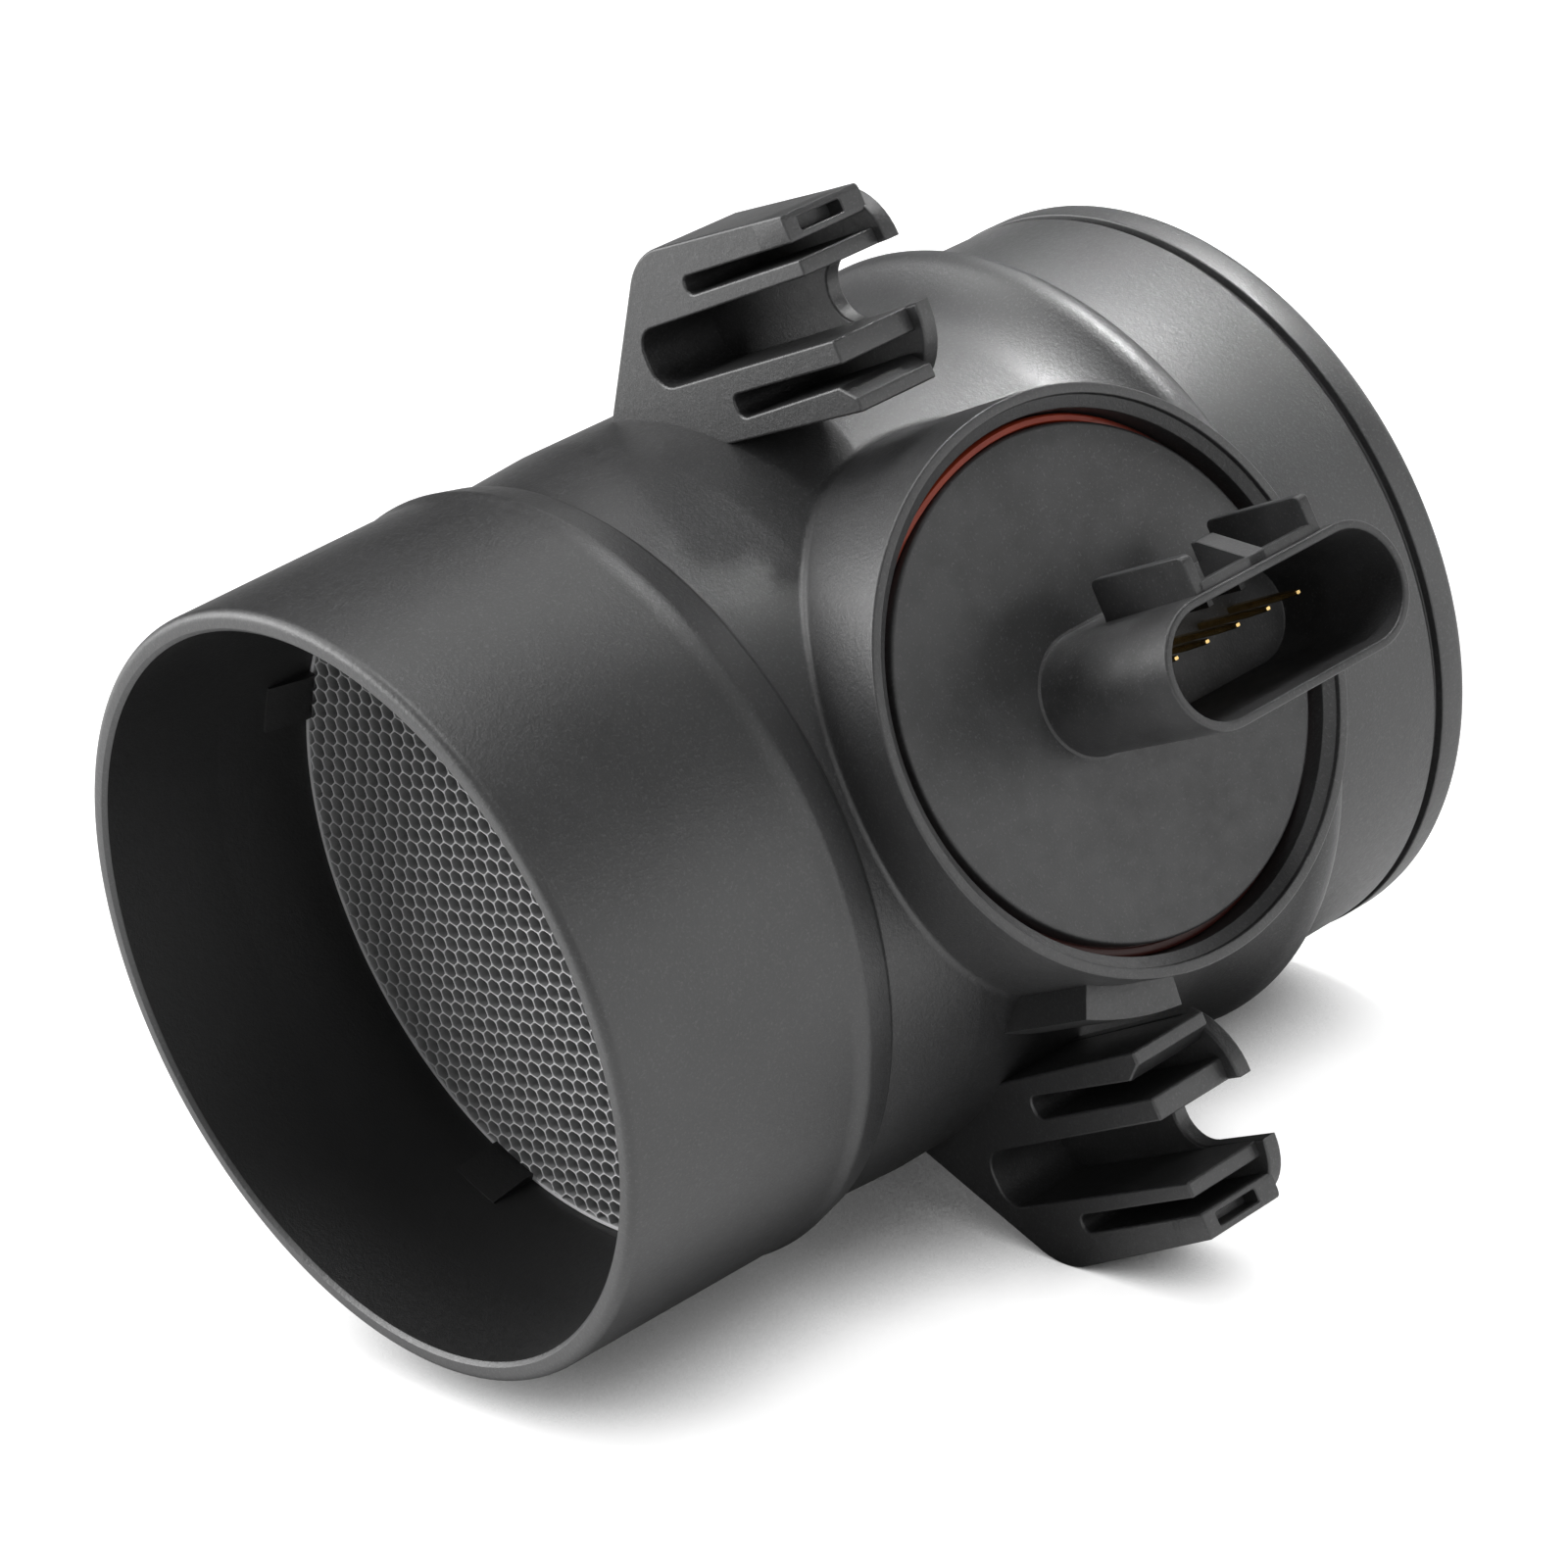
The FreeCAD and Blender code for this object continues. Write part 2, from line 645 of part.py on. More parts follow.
def add_snap_tabs(body):
    """Four wedges in the inlet bore that keep the straightener on its seat."""
    wedge = new_sketch(body, "snap_tab_outline", "XZ_Plane")
    draw_outline(wedge, [
        ("tab_start_x", "seat_bore_radius + tab_root"),
        ("tab_start_x", "seat_bore_radius"),
        ("straightener_face_x - tab_flat", "seat_bore_radius - tab_height"),
        ("straightener_face_x", "seat_bore_radius - tab_height"),
        ("straightener_face_x", "seat_bore_radius + tab_root"),
    ])
    wedge.AttachmentOffset = Placement(Vector(), Rotation(Vector(1, 0, 0), FIRST_TAB_TURN))
    tab = turn(body, "Revolution", "snap_tab", wedge, "H_Axis", "tab_turn")
    tab.Midplane = True
    doc.recompute()
    ring = body.newObject("PartDesign::PolarPattern", "snap_tabs")
    ring.Originals = [tab]
    axis = [o for o in body.Origin.OriginFeatures if o.Role == "X_Axis"][0]
    ring.Axis = (axis, [""])
    ring.Angle = 360
    ring.Occurrences = TAB_COUNT
    body.Tip = ring
    doc.recompute()


def finish_housing(body):
    """Chamfers on the rims and rounds in the slots, each on the edges found by where they are."""
    finish_edges(body, "Chamfer", "lip_chamfers", "lip_chamfer",
                 lambda e: is_ring_at_x(e, "0", "inlet_lip_radius")
                 or is_ring_at_x(e, "duct_length", "lip_radius"))
    finish_edges(body, "Chamfer", "cup_rim_chamfer", "cup_rim_chamfer",
                 lambda e: is_ring_at_z(e, "cup_rim_z", "cup_radius"))
    middle_end = number("middle_slot_z")
    middle_sides = [number(side) for side in MIDDLE_SLOT_SIDES]
    finish_edges(body, "Fillet", "middle_slot_rounds", "middle_slot_round",
                 lambda e: any(runs_along_x(e, y, middle_end) for y in middle_sides))
    side_end = number("side_slot_z")
    side_sides = [number(side) for side in OUTER_SLOT_SIDES + INNER_SLOT_SIDES]
    finish_edges(body, "Fillet", "side_slot_rounds", "side_slot_round",
                 lambda e: any(runs_along_x(e, y, side_end) for y in side_sides))


def make_straightener():
    """The honeycomb disc, here with large cells in one wall, cut off round at its rim."""
    face_x = number("straightener_face_x")
    radius = number("seat_bore_radius - straightener_clearance")
    pitch, wall = number("straightener_cell"), number("straightener_wall")
    rim = number("straightener_rim")
    field = round_face(face_x, radius - rim)
    whole_cell = hexagon(face_x, 0, 0, pitch - wall).Area
    reach = int(radius / pitch) + 2
    cells = []
    for row in range(-reach, reach + 1):
        for column in range(-reach, reach + 1):
            y = pitch * (column + 0.5 * (row % 2))
            z = pitch * row * math.sqrt(3) / 2
            if math.hypot(y, z) > radius + pitch:
                continue
            cell = hexagon(face_x, y, z, pitch - wall).common(field)
            if cell.Area > SMALLEST_CELL * whole_cell:
                cells.append(cell)
    piece = doc.addObject("Part::Feature", "flow_straightener")
    piece.Label = "flow_straightener"
    disc = round_face(face_x, radius).cut(cells)
    piece.Shape = disc.Faces[0].extrude(Vector(number("straightener_depth"), 0, 0))
    lay_down(piece)
    subparts.append(piece)
    print("flow straightener cells", len(cells))


def round_face(x, radius):
    """A disc across the duct."""
    return Part.Face(Part.Wire(Part.Circle(Vector(x, 0, 0), Vector(1, 0, 0), radius).toShape()))


def hexagon(x, y, z, width):
    """A six-sided face across the duct, width from side to side, two sides parallel to Z."""
    angles = [math.radians(30 + 60 * k) for k in range(6)]
    reach = width / math.sqrt(3)
    spots = [Vector(x, y + reach * math.cos(a), z + reach * math.sin(a)) for a in angles]
    return Part.Face(Part.makePolygon(spots + spots[:1]))


def make_cover():
    """Round cover with the skirt below it and the oval connector shroud above it."""
    body = new_body("connector_cover")
    disc = new_sketch(body, "disc_outline", "XY_Plane", "cover_low_z")
    draw_circle(disc, "cup_x", "0", "cover_radius")
    extrude(body, "Pad", "disc", disc, "cover_top_z - cover_low_z")
    skirt = new_sketch(body, "skirt_outline", "XY_Plane", "cover_low_z")
    draw_circle(skirt, "cup_x", "0", "cover_skirt_radius")
    draw_circle(skirt, "cup_x", "0", "cover_skirt_radius - cover_skirt_wall")
    extrude(body, "Pad", "skirt", skirt, "cover_low_z - cup_floor_z", flip=True)

    foot = new_sketch(body, "shroud_outline", "XY_Plane", "cover_top_z")
    draw_stadium(foot, "shroud_x", "shroud_y", "shroud_half_straight", "shroud_foot_radius")
    draft = "atan((shroud_mouth_radius - shroud_foot_radius) / (shroud_mouth_z - cover_top_z))"
    extrude(body, "Pad", "shroud", foot, "shroud_mouth_z - cover_top_z", taper=draft)

    add_latch(body)

    mouth = new_sketch(body, "socket_outline", "XY_Plane", "shroud_mouth_z")
    draw_stadium(mouth, "shroud_x", "shroud_y", "shroud_half_straight",
                 "shroud_mouth_radius - shroud_wall")
    socket = extrude(body, "Pocket", "socket", mouth, "shroud_mouth_z - socket_floor_z",
                     taper="-1 * %s" % draft)
    socket.Refine = True
    add_keys(body)

    pins = new_sketch(body, "pin_hole_outline", "XY_Plane", "socket_floor_z")
    for place in range(PIN_COUNT):
        draw_rectangle(pins, pin_x(place), "pin_y", "pin_width", "pin_thickness")
    extrude(body, "Pocket", "pin_holes", pins, "socket_floor_z - cover_low_z + cut_overrun")

    finish_edges(body, "Chamfer", "cover_edge_chamfer", "cover_edge_chamfer",
                 lambda e: is_ring_at_z(e, "cover_top_z", "cover_radius"))


def add_latch(body):
    """Two guard walls on the shroud's upper side, with the latch wedge and its bar between."""
    top_of_shroud = "shroud_y + shroud_mouth_radius"
    guard_top = top_of_shroud + " + guard_height"
    guards = new_sketch(body, "guard_outline", "XY_Plane", "guard_foot_z")
    for side in ("-", "+"):
        draw_rectangle(guards, "shroud_x %s guard_spread / 2" % side,
                       "(%s + %s - latch_root) / 2" % (top_of_shroud, guard_top),
                       "guard_wall", "guard_height + latch_root")
    extrude(body, "Pad", "guards", guards,
            "shroud_mouth_z - guard_gap_to_mouth - guard_foot_z")

    front = "shroud_mouth_z - guard_gap_to_mouth"
    wedge = new_sketch(body, "latch_outline", "YZ_Plane", "shroud_x - latch_width / 2")
    draw_outline(wedge, [
        (top_of_shroud + " - latch_root", front + " - latch_length"),
        (top_of_shroud + " + latch_tip_height + latch_rise", front + " - latch_length"),
        (top_of_shroud + " + latch_tip_height", front),
        (top_of_shroud + " - latch_root", front),
    ])
    extrude(body, "Pad", "latch_wedge", wedge, "latch_width")

    bar = new_sketch(body, "latch_bar_outline", "XY_Plane", front)
    draw_rectangle(bar, "shroud_x", top_of_shroud + " + (latch_bar_height - latch_root) / 2",
                   "guard_spread", "latch_bar_height + latch_root")
    extrude(body, "Pad", "latch_bar", bar, "latch_bar_length", flip=True)
    doc.recompute()


def add_keys(body):
    """Two low keys on the socket's floor, beside the pins."""
    keys = new_sketch(body, "key_outline", "XY_Plane", "socket_floor_z")
    for side in ("-", "+"):
        draw_rectangle(keys, "shroud_x + key_offset %s key_spread / 2" % side,
                       "pin_y + key_gap + key_height / 2", "key_width", "key_height")
    extrude(body, "Pad", "keys", keys, "key_rise")
    doc.recompute()


def make_seal():
    """Soft ring, of an L section, under the cover's edge and up beside it."""
    body = new_body("cover_seal")
    ring = new_sketch(body, "seal_section", "XZ_Plane")
    inner = "cup_x + cover_skirt_radius + seal_clearance"
    lap = "cup_x + cover_radius + seal_clearance"
    outer = "cup_x + cup_bore_radius - seal_clearance"
    draw_outline(ring, [
        (inner, "cup_ledge_z"),
        (outer, "cup_ledge_z"),
        (outer, "seal_top_z - seal_lip_height"),
        (outer + " - seal_lip_width", "seal_top_z"),
        (lap, "seal_top_z"),
        (lap, "cover_low_z"),
        (inner, "cover_low_z"),
    ])
    foot = Vector(number("cup_x"), 0, 0)
    tip = Vector(number("cup_x"), number("cup_rim_z"), 0)
    axis = ring.addGeometry(Part.LineSegment(foot, tip), True)
    hold_point(ring, axis, 1, "cup_x", "0")
    hold_point(ring, axis, 2, "cup_x", "cup_rim_z")
    turn(body, "Revolution", "seal_ring", ring, "Axis0")
    doc.recompute()


def pin_x(place):
    return "shroud_x + %d * pin_pitch" % (place - PIN_COUNT // 2)


def make_pins():
    """Flat terminal pins, from the board up into the socket, each with a narrowed tip."""
    for place in range(PIN_COUNT):
        body = new_body("terminal_pin_%d" % (place + 1))
        blade = new_sketch(body, "blade_outline_%d" % (place + 1), "XZ_Plane",
                           "-pin_y - pin_thickness / 2")
        left = pin_x(place) + " - pin_width / 2"
        right = pin_x(place) + " + pin_width / 2"
        tip_left = pin_x(place) + " - pin_tip_width / 2"
        tip_right = pin_x(place) + " + pin_tip_width / 2"
        shoulder = "pin_tip_z - pin_tip_length"
        draw_outline(blade, [
            (left, "board_top_z"),
            (right, "board_top_z"),
            (right, shoulder),
            (tip_right, shoulder + " + (pin_width - pin_tip_width) / 2"),
            (tip_right, "pin_tip_z"),
            (tip_left, "pin_tip_z"),
            (tip_left, shoulder + " + (pin_width - pin_tip_width) / 2"),
            (left, shoulder),
        ])
        extrude(body, "Pad", "blade_%d" % (place + 1), blade, "pin_thickness")
    doc.recompute()


def element_x(name):
    return "cup_x + %d * element_pitch" % (ELEMENTS.index(name) - len(ELEMENTS) // 2)


def cut_prong_holes(body, name, top, depth):
    holes = new_sketch(body, name + "_outline", "XY_Plane", top)
    for element in ELEMENTS:
        for side in ("-", "+"):
            draw_rectangle(holes, element_x(element), "%s prong_spread / 2" % side,
                           "prong_side", "prong_side")
    extrude(body, "Pocket", name, holes, depth)


def make_base_plate():
    """Metal plate on the cup's floor that carries the board and takes its heat."""
    body = new_body("module_base_plate")
    disc = new_sketch(body, "base_outline", "XY_Plane", "cup_floor_z")
    draw_circle(disc, "cup_x", "0", "base_radius")
    extrude(body, "Pad", "base", disc, "base_thickness")
    cut_prong_holes(body, "base_prong_holes", "cup_floor_z + base_thickness",
                    "base_thickness + cut_overrun")
    doc.recompute()


def make_board():
    body = new_body("circuit_board")
    board_low = "cup_floor_z + base_thickness"
    board = new_sketch(body, "board_outline", "XY_Plane", board_low)
    draw_rectangle(board, "cup_x", "0", "board_length", "board_width")
    extrude(body, "Pad", "board", board, "board_thickness")
    cut_prong_holes(body, "board_prong_holes", "board_top_z", "board_thickness + cut_overrun")
    doc.recompute()


def make_board_part(label, across, up, length, width, height):
    """A block soldered on the board, its upper edges chamfered as a moulded case is."""
    body = new_body(label)
    case = new_sketch(body, label + "_outline", "XY_Plane", "board_top_z")
    draw_rectangle(case, across, up, length, width)
    extrude(body, "Pad", label + "_case", case, height)
    top = number("board_top_z + " + height)
    finish_edges(body, "Chamfer", label + "_chamfer", "case_chamfer",
                 lambda e: all(abs(v.Point.z - top) < NEAR for v in e.Vertexes))


def make_board_parts():
    make_board_part("signal_chip", "chip_x", "chip_y", "chip_length", "chip_width", "chip_height")
    make_board_part("heater_transistor", "transistor_x", "transistor_y", "transistor_length",
                    "transistor_width", "transistor_height")
    for place in range(CAPACITOR_COUNT):
        make_board_part("capacitor_%d" % (place + 1),
                        "capacitor_first_x + %d * capacitor_pitch" % place, "capacitor_y",
                        "capacitor_length", "capacitor_width", "capacitor_height")


def make_bypass():
    """The duct that dips into the air flow and leads a share of it past the elements."""
    body = new_body("bypass_duct")
    flange_low = "cup_floor_z - bypass_flange_depth"
    flange = new_sketch(body, "flange_outline", "XY_Plane", flange_low)
    draw_rectangle(flange, "cup_x", "0", "bypass_flange_length", "bypass_flange_width")
    extrude(body, "Pad", "flange", flange, "bypass_flange_depth")
    stem = new_sketch(body, "stem_outline", "XY_Plane", flange_low)
    draw_rectangle(stem, "cup_x", "0", "bypass_length", "bypass_width")
    extrude(body, "Pad", "stem", stem, flange_low + " - bypass_tip_z", flip=True)
    tip, middle, half_length = number("bypass_tip_z"), number("cup_x"), number("bypass_length / 2")
    finish_edges(body, "Fillet", "nose_rounds", "bypass_nose_round",
                 lambda e: all(abs(v.Point.z - tip) < NEAR for v in e.Vertexes)
                 and abs(e.Vertexes[0].Point.x - e.Vertexes[1].Point.x) < NEAR
                 and abs(abs(e.Vertexes[0].Point.x - middle) - half_length) < NEAR)
    passage = new_sketch(body, "passage_outline", "YZ_Plane", "cup_x - bypass_length")
    half = "passage_width / 2"
    draw_outline(passage, [
        ("-1 * " + half, "passage_low_z + " + half, "left"),
        (half, "passage_low_z + " + half),
        (half, "passage_high_z"),
        ("-1 * " + half, "passage_high_z"),
    ])
    extrude(body, "Pocket", "passage", passage, "bypass_length * 2", flip=True)
    cut_prong_holes(body, "bypass_prong_holes", "cup_floor_z",
                    "cup_floor_z - passage_high_z + cut_overrun")
    doc.recompute()


def make_prongs():
    """Square wires from the board down through the duct's roof, a pair for each element."""
    top = "board_top_z + prong_stand"
    for element in ELEMENTS:
        for side, word in (("-", "lower"), ("+", "upper")):
            label = "%s_prong_%s" % (element, word)
            body = new_body(label)
            wire = new_sketch(body, label + "_outline", "XY_Plane", top)
            draw_rectangle(wire, element_x(element), "%s prong_spread / 2" % side,
                           "prong_side", "prong_side")
            extrude(body, "Pad", label + "_wire", wire, "%s - element_z + element_overhang" % top,
                    flip=True)
            doc.recompute()


def make_elements():
    """What senses: a heated film chip, a cold reference chip and a thermistor bead."""
    gap = "prong_spread - prong_side"
    for element in ("heated", "reference"):
        body = new_body("%s_element" % element)
        film = new_sketch(body, element + "_film_outline", "XY_Plane", "element_z")
        draw_rectangle(film, element_x(element), "0", element + "_thickness", gap)
        extrude(body, "Pad", element + "_film", film, element + "_height")
    body = new_body("air_thermistor")
    bead = new_sketch(body, "bead_outline", "XZ_Plane", "-1 * (%s) / 2" % gap)
    draw_circle(bead, element_x("thermistor"), "element_z", "thermistor_radius")
    extrude(body, "Pad", "bead", bead, gap)
    doc.recompute()
    finish_edges(body, "Chamfer", "bead_chamfers", "thermistor_chamfer",
                 lambda e: isinstance(e.Curve, Part.Circle))


def write_parts():
    failed = [o.Name for o in doc.Objects if {"Invalid", "Error"} & set(o.State)]
    if failed:
        raise RuntimeError("failed objects: %s" % failed)
    for piece in subparts:
        if piece.Shape.isNull() or not piece.Shape.isValid():
            raise RuntimeError("%s has no valid shape" % piece.Label)
    os.makedirs("parts", exist_ok=True)
    for piece in subparts:
        piece.Shape.exportStep(os.path.join("parts", piece.Label + ".step"))
        box = piece.Shape.optimalBoundingBox()
        print("%-24s %d solids %8.1f mm3  X %.1f to %.1f  Y %.1f to %.1f  Z %.1f to %.1f" % (
            piece.Label, len(piece.Shape.Solids), piece.Shape.Volume,
            box.XMin, box.XMax, box.YMin, box.YMax, box.ZMin, box.ZMax))


make_housing()
make_straightener()
make_cover()
make_seal()
make_pins()
make_base_plate()
make_board()
make_board_parts()
make_bypass()
make_prongs()
make_elements()
doc.recompute()
write_parts()
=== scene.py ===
"""Mass airflow sensor: finished surfaces, materials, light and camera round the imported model.

Shapes are worked out in the sensor's own axes, in millimetres: X the way the air flows, Z out of
the puck, Y across both. lay() turns them to the way the part lies and gives metres. Angles among
the driving values are in degrees.
"""
import json
import math

import bmesh
import bpy
import numpy as np
from mathutils import Matrix, Vector


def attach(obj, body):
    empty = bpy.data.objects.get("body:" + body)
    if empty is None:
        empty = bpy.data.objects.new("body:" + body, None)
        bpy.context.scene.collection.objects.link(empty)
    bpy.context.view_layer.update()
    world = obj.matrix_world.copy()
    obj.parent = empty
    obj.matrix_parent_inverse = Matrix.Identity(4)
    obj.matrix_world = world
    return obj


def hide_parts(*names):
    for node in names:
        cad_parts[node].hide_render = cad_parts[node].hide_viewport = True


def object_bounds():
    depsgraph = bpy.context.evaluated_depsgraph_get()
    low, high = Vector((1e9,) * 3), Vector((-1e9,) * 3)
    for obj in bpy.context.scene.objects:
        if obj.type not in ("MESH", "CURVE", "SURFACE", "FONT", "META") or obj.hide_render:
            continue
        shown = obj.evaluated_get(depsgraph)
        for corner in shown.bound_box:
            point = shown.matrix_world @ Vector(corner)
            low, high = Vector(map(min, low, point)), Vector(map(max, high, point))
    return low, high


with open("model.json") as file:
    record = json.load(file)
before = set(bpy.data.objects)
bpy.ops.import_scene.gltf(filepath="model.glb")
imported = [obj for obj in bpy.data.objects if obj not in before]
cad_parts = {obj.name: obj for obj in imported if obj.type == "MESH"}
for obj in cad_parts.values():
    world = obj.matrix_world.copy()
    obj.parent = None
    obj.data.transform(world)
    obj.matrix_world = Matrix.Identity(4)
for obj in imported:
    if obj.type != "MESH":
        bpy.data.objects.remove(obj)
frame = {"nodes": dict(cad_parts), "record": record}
cad_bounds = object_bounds()

MM = 0.001
MOUNTS = {mount["name"]: mount for mount in frame["record"]["mounts"]}

# axes of the sensor in the row frame
FLOW = np.array([1.0, 0.0, 0.0])
PUCK = np.array(MOUNTS["connector_socket"]["axis"], float)
PUCK /= np.linalg.norm(PUCK)
SIDE = np.cross(PUCK, FLOW)
AXES = np.array([FLOW, SIDE, PUCK])

# duct's bore: radii, and where along the duct they change
DUCT_LENGTH = 144.8
INLET_BORE = 48.1
SEAT_BORE = 47.5
MIDDLE_BORE = 45.6
OUTLET_BORE = 48.2
SEAT_TAPER_START = 18.0
SEAT_TAPER_END = 31.0
OUTLET_TAPER_START = 120.0
OUTLET_TAPER_END = 124.0
STRAIGHTENER_X = 32.1
STRAIGHTENER_DEPTH = 10.0
SEAT_END = STRAIGHTENER_X + STRAIGHTENER_DEPTH
CELL_ROW = (-0.44, 2.48)
CELL_STEP = (-2.09, 0.97)
FOIL_THICK = 0.17

# snap tabs in the bore
TAB_START = 25.4
TAB_RAMP_END = 30.9
TAB_HEIGHT = 1.1
TAB_HALF_TURN = 4.5

# duct's outside, from inlet to outlet
INLET_TIP_RADIUS = 50.9
RIDGE_FOOT = (35.0, 51.5)
RIDGE_TOP = (36.9, 52.0)
RIDGE_BACK = (41.6, 51.0)
NECK = (42.6, 49.8)
MIDDLE_X = 57.0
MIDDLE_RADIUS = 50.8
FLARE_X = 103.2
FLARE_ROUND = 14.5
CREST_X = 115.6
CREST_RADIUS = 55.7
CREST_ROUND = 3.2
SPIGOT_X = 119.44
SPIGOT_RADIUS = 52.3
GROOVE_X = 138.7
GROOVE_RADIUS = 51.2
LIP_X = 140.1
LIP_RADIUS = 52.5

# puck cup and cover
CUP_X = 80.8
CUP_RADIUS = 36.3
CUP_RIM = 59.7
RIM_BAND = 34.9
CUP_BORE = 33.4
CUP_LEDGE = 53.4
CUP_WELL = 30.6
CUP_FLOOR = 50.0
COVER_RADIUS = 31.9
COVER_TOP = 57.5
COVER_LOW = 54.6
SKIRT_INSIDE = 28.4
SKIRT_OUTSIDE = 30.2
SKIRT_FOOT = 50.02

# seal between them
SEAL_BORE = 30.3
SEAL_STEP = 32.0
SEAL_RADIUS = 33.3
SEAL_TOP = 54.95
SEAL_SWELL = 2.9
SWELL_START = 54.5
SQUEEZED = 98.0

# fork brackets
FORK_FRONT = 65.2
FORK_DEPTH = 14.3
FORK_PLATE = 2.3
COMB_END = FORK_FRONT + FORK_DEPTH - FORK_PLATE
FORK_END = 54.0
FORK_BEND = (58.7, 27.7)
FORK_BEND_ROUND = 10.0
SLOT_FOOT = 31.0
THROAT_FOOT = 17.6
THROAT_Y = 55.0
THROAT_HALF = 4.1
THROAT_INNER = THROAT_Y - THROAT_HALF
THROAT_OUTER = THROAT_Y + THROAT_HALF
THROAT_DEPTH = 45.2
ARM_FOOT = 48.0
ARM_INSIDE = 63.53
ARM_OUTSIDE = 67.24
ARM_LEAN = (0.23, 0.44)
ARM_DRAW = 2.4
WINDOW_X = 70.9
WINDOW_Y = 65.05
WINDOW_LENGTH = 6.9
WINDOW_WIDTH = 1.7
WINDOW_DEPTH = 2.6
WEB_TURN = (-118.0, -96.5)
WEB_WIDTH = 4.2
WEB_TOP = 52.6
WEB_DEPTH = 17.0

# connector
SHROUD_X = 90.1
SHROUD_Y = -0.4
SHROUD_HALF = 12.25
SHROUD_FOOT_RADIUS = 7.6
SHROUD_MOUTH_RADIUS = 8.1
SHROUD_WALL = 1.15
SHROUD_MOUTH = 81.8
SOCKET_FLOOR = 60.5
PIN_COUNT = 5
PIN_PITCH = 5.36
PIN_WIDTH = 1.5
PIN_THICK = 0.8
PIN_Y = 1.0
PIN_FOOT = 52.5
PIN_TOP = 73.0
KEYS_X = 95.8
KEY_REACH = 2.85
KEY_HALF = 0.5
KEY_Y = (3.4, 5.3)
KEY_HEIGHT = 6.0
GUARD_REACH = 10.1
GUARD_HALF = 0.8
GUARD_HEIGHT = 4.9
GUARD_FOOT = 63.6
LATCH_FRONT = SHROUD_MOUTH - 0.9
BAR_HEIGHT = 1.2
BAR_DEPTH = 1.6
WEDGE_HALF = 1.5
WEDGE_HEIGHT = 4.6
WEDGE_LENGTH = 8.6
WEDGE_FLAT = 1.2
SUNK = 0.9

# meshing: points round a turn, the strip that keeps a face flat beside its round, and the radius
# of the ring that closes a pole
ROUND_STEPS = 256
HOLD = 0.03
POLE = 0.001

# studio, in metres, and the photograph's camera
CAMERA_PLACE = (-0.3112, -0.4841, 0.2604)
CAMERA_AHEAD = (0.57138, 0.72197, -0.39023)
CAMERA_ROLL = -10.78
CAMERA_LENS = 119.85
FLOOR_SIZE = 3.0
FLOOR_GLOW = 1.0
FLOOR_GLEAM = 0.85
CONTACT_REACH = 0.026
LAMP_AIM = (0.07, 0.0, 0.01)
LAMP_DISTANCE = 1.2
LAMP_SIZE = (0.6, 0.6)
WORLD_LIGHT = 0.03


def lay(points):
    """Points in the sensor's axes and millimetres, as points in the row frame in metres."""
    return np.asarray(points, float) @ AXES * MM


class Shells:
    """Closed surfaces collected into one mesh."""

    def __init__(self):
        self.points = []
        self.faces = []
        self.count = 0

    def add(self, points, faces):
        points = np.asarray(points, float).reshape(-1, 3)
        self.points.append(points)
        self.faces.extend([tuple(int(i) + self.count for i in face) for face in faces])
        self.count += len(points)

    def grid(self, grid, wrap_rows=True, caps=False):
        """A grid of points (rows, columns, 3), its columns always closed in a loop. Its rows close
        in a loop too, or end in two caps."""
        rows, columns = grid.shape[:2]
        index = np.arange(rows * columns).reshape(rows, columns)
        last = rows if wrap_rows else rows - 1
        r = np.arange(last)[:, None]
        c = np.arange(columns)[None, :]
        after_r, after_c = (r + 1) % rows, (c + 1) % columns
        quads = np.stack([index[r, c], index[r, after_c], index[after_r, after_c],
                          index[after_r, c]], axis=-1).reshape(-1, 4)
        faces = [tuple(q) for q in quads.tolist()]
        if caps:
            faces.append(tuple(reversed(index[0].tolist())))
            faces.append(tuple(index[-1].tolist()))
        self.add(grid.reshape(-1, 3), faces)

    def piece(self, name, sharp_angle=32.0, merge=1e-7):
        mesh = bpy.data.meshes.new(name)
        mesh.from_pydata(lay(np.concatenate(self.points)).tolist(), [], self.faces)
        work = bmesh.new()
        work.from_mesh(mesh)
        bmesh.ops.remove_doubles(work, verts=work.verts, dist=merge)
        bmesh.ops.recalc_face_normals(work, faces=work.faces)
        work.to_mesh(mesh)
        work.free()
        mesh.shade_smooth()
        mesh.set_sharp_from_angle(angle=math.radians(sharp_angle))
        piece = bpy.data.objects.new(name, mesh)
        bpy.context.scene.collection.objects.link(piece)
        return piece


def arc(start, end, radius, right=False, steps=12):
    """Points from start to end along a circle of the given radius that turns left, or right."""
    start, end = np.array(start, float), np.array(end, float)
    chord = end - start
    half = np.linalg.norm(chord) / 2
    along = chord / (2 * half)
    left = np.array([-along[1], along[0]])
    rise = math.sqrt(max(radius ** 2 - half ** 2, 0.0))
    centre = (start + end) / 2 + left * rise * (-1 if right else 1)
    turn = 2 * math.asin(min(half / radius, 1.0)) * (-1 if right else 1)
    angles = np.linspace(0, turn, steps + 1)[:, None]
    spoke = start - centre
    cross = np.array([-spoke[1], spoke[0]])
    return centre + np.cos(angles) * spoke + np.sin(angles) * cross


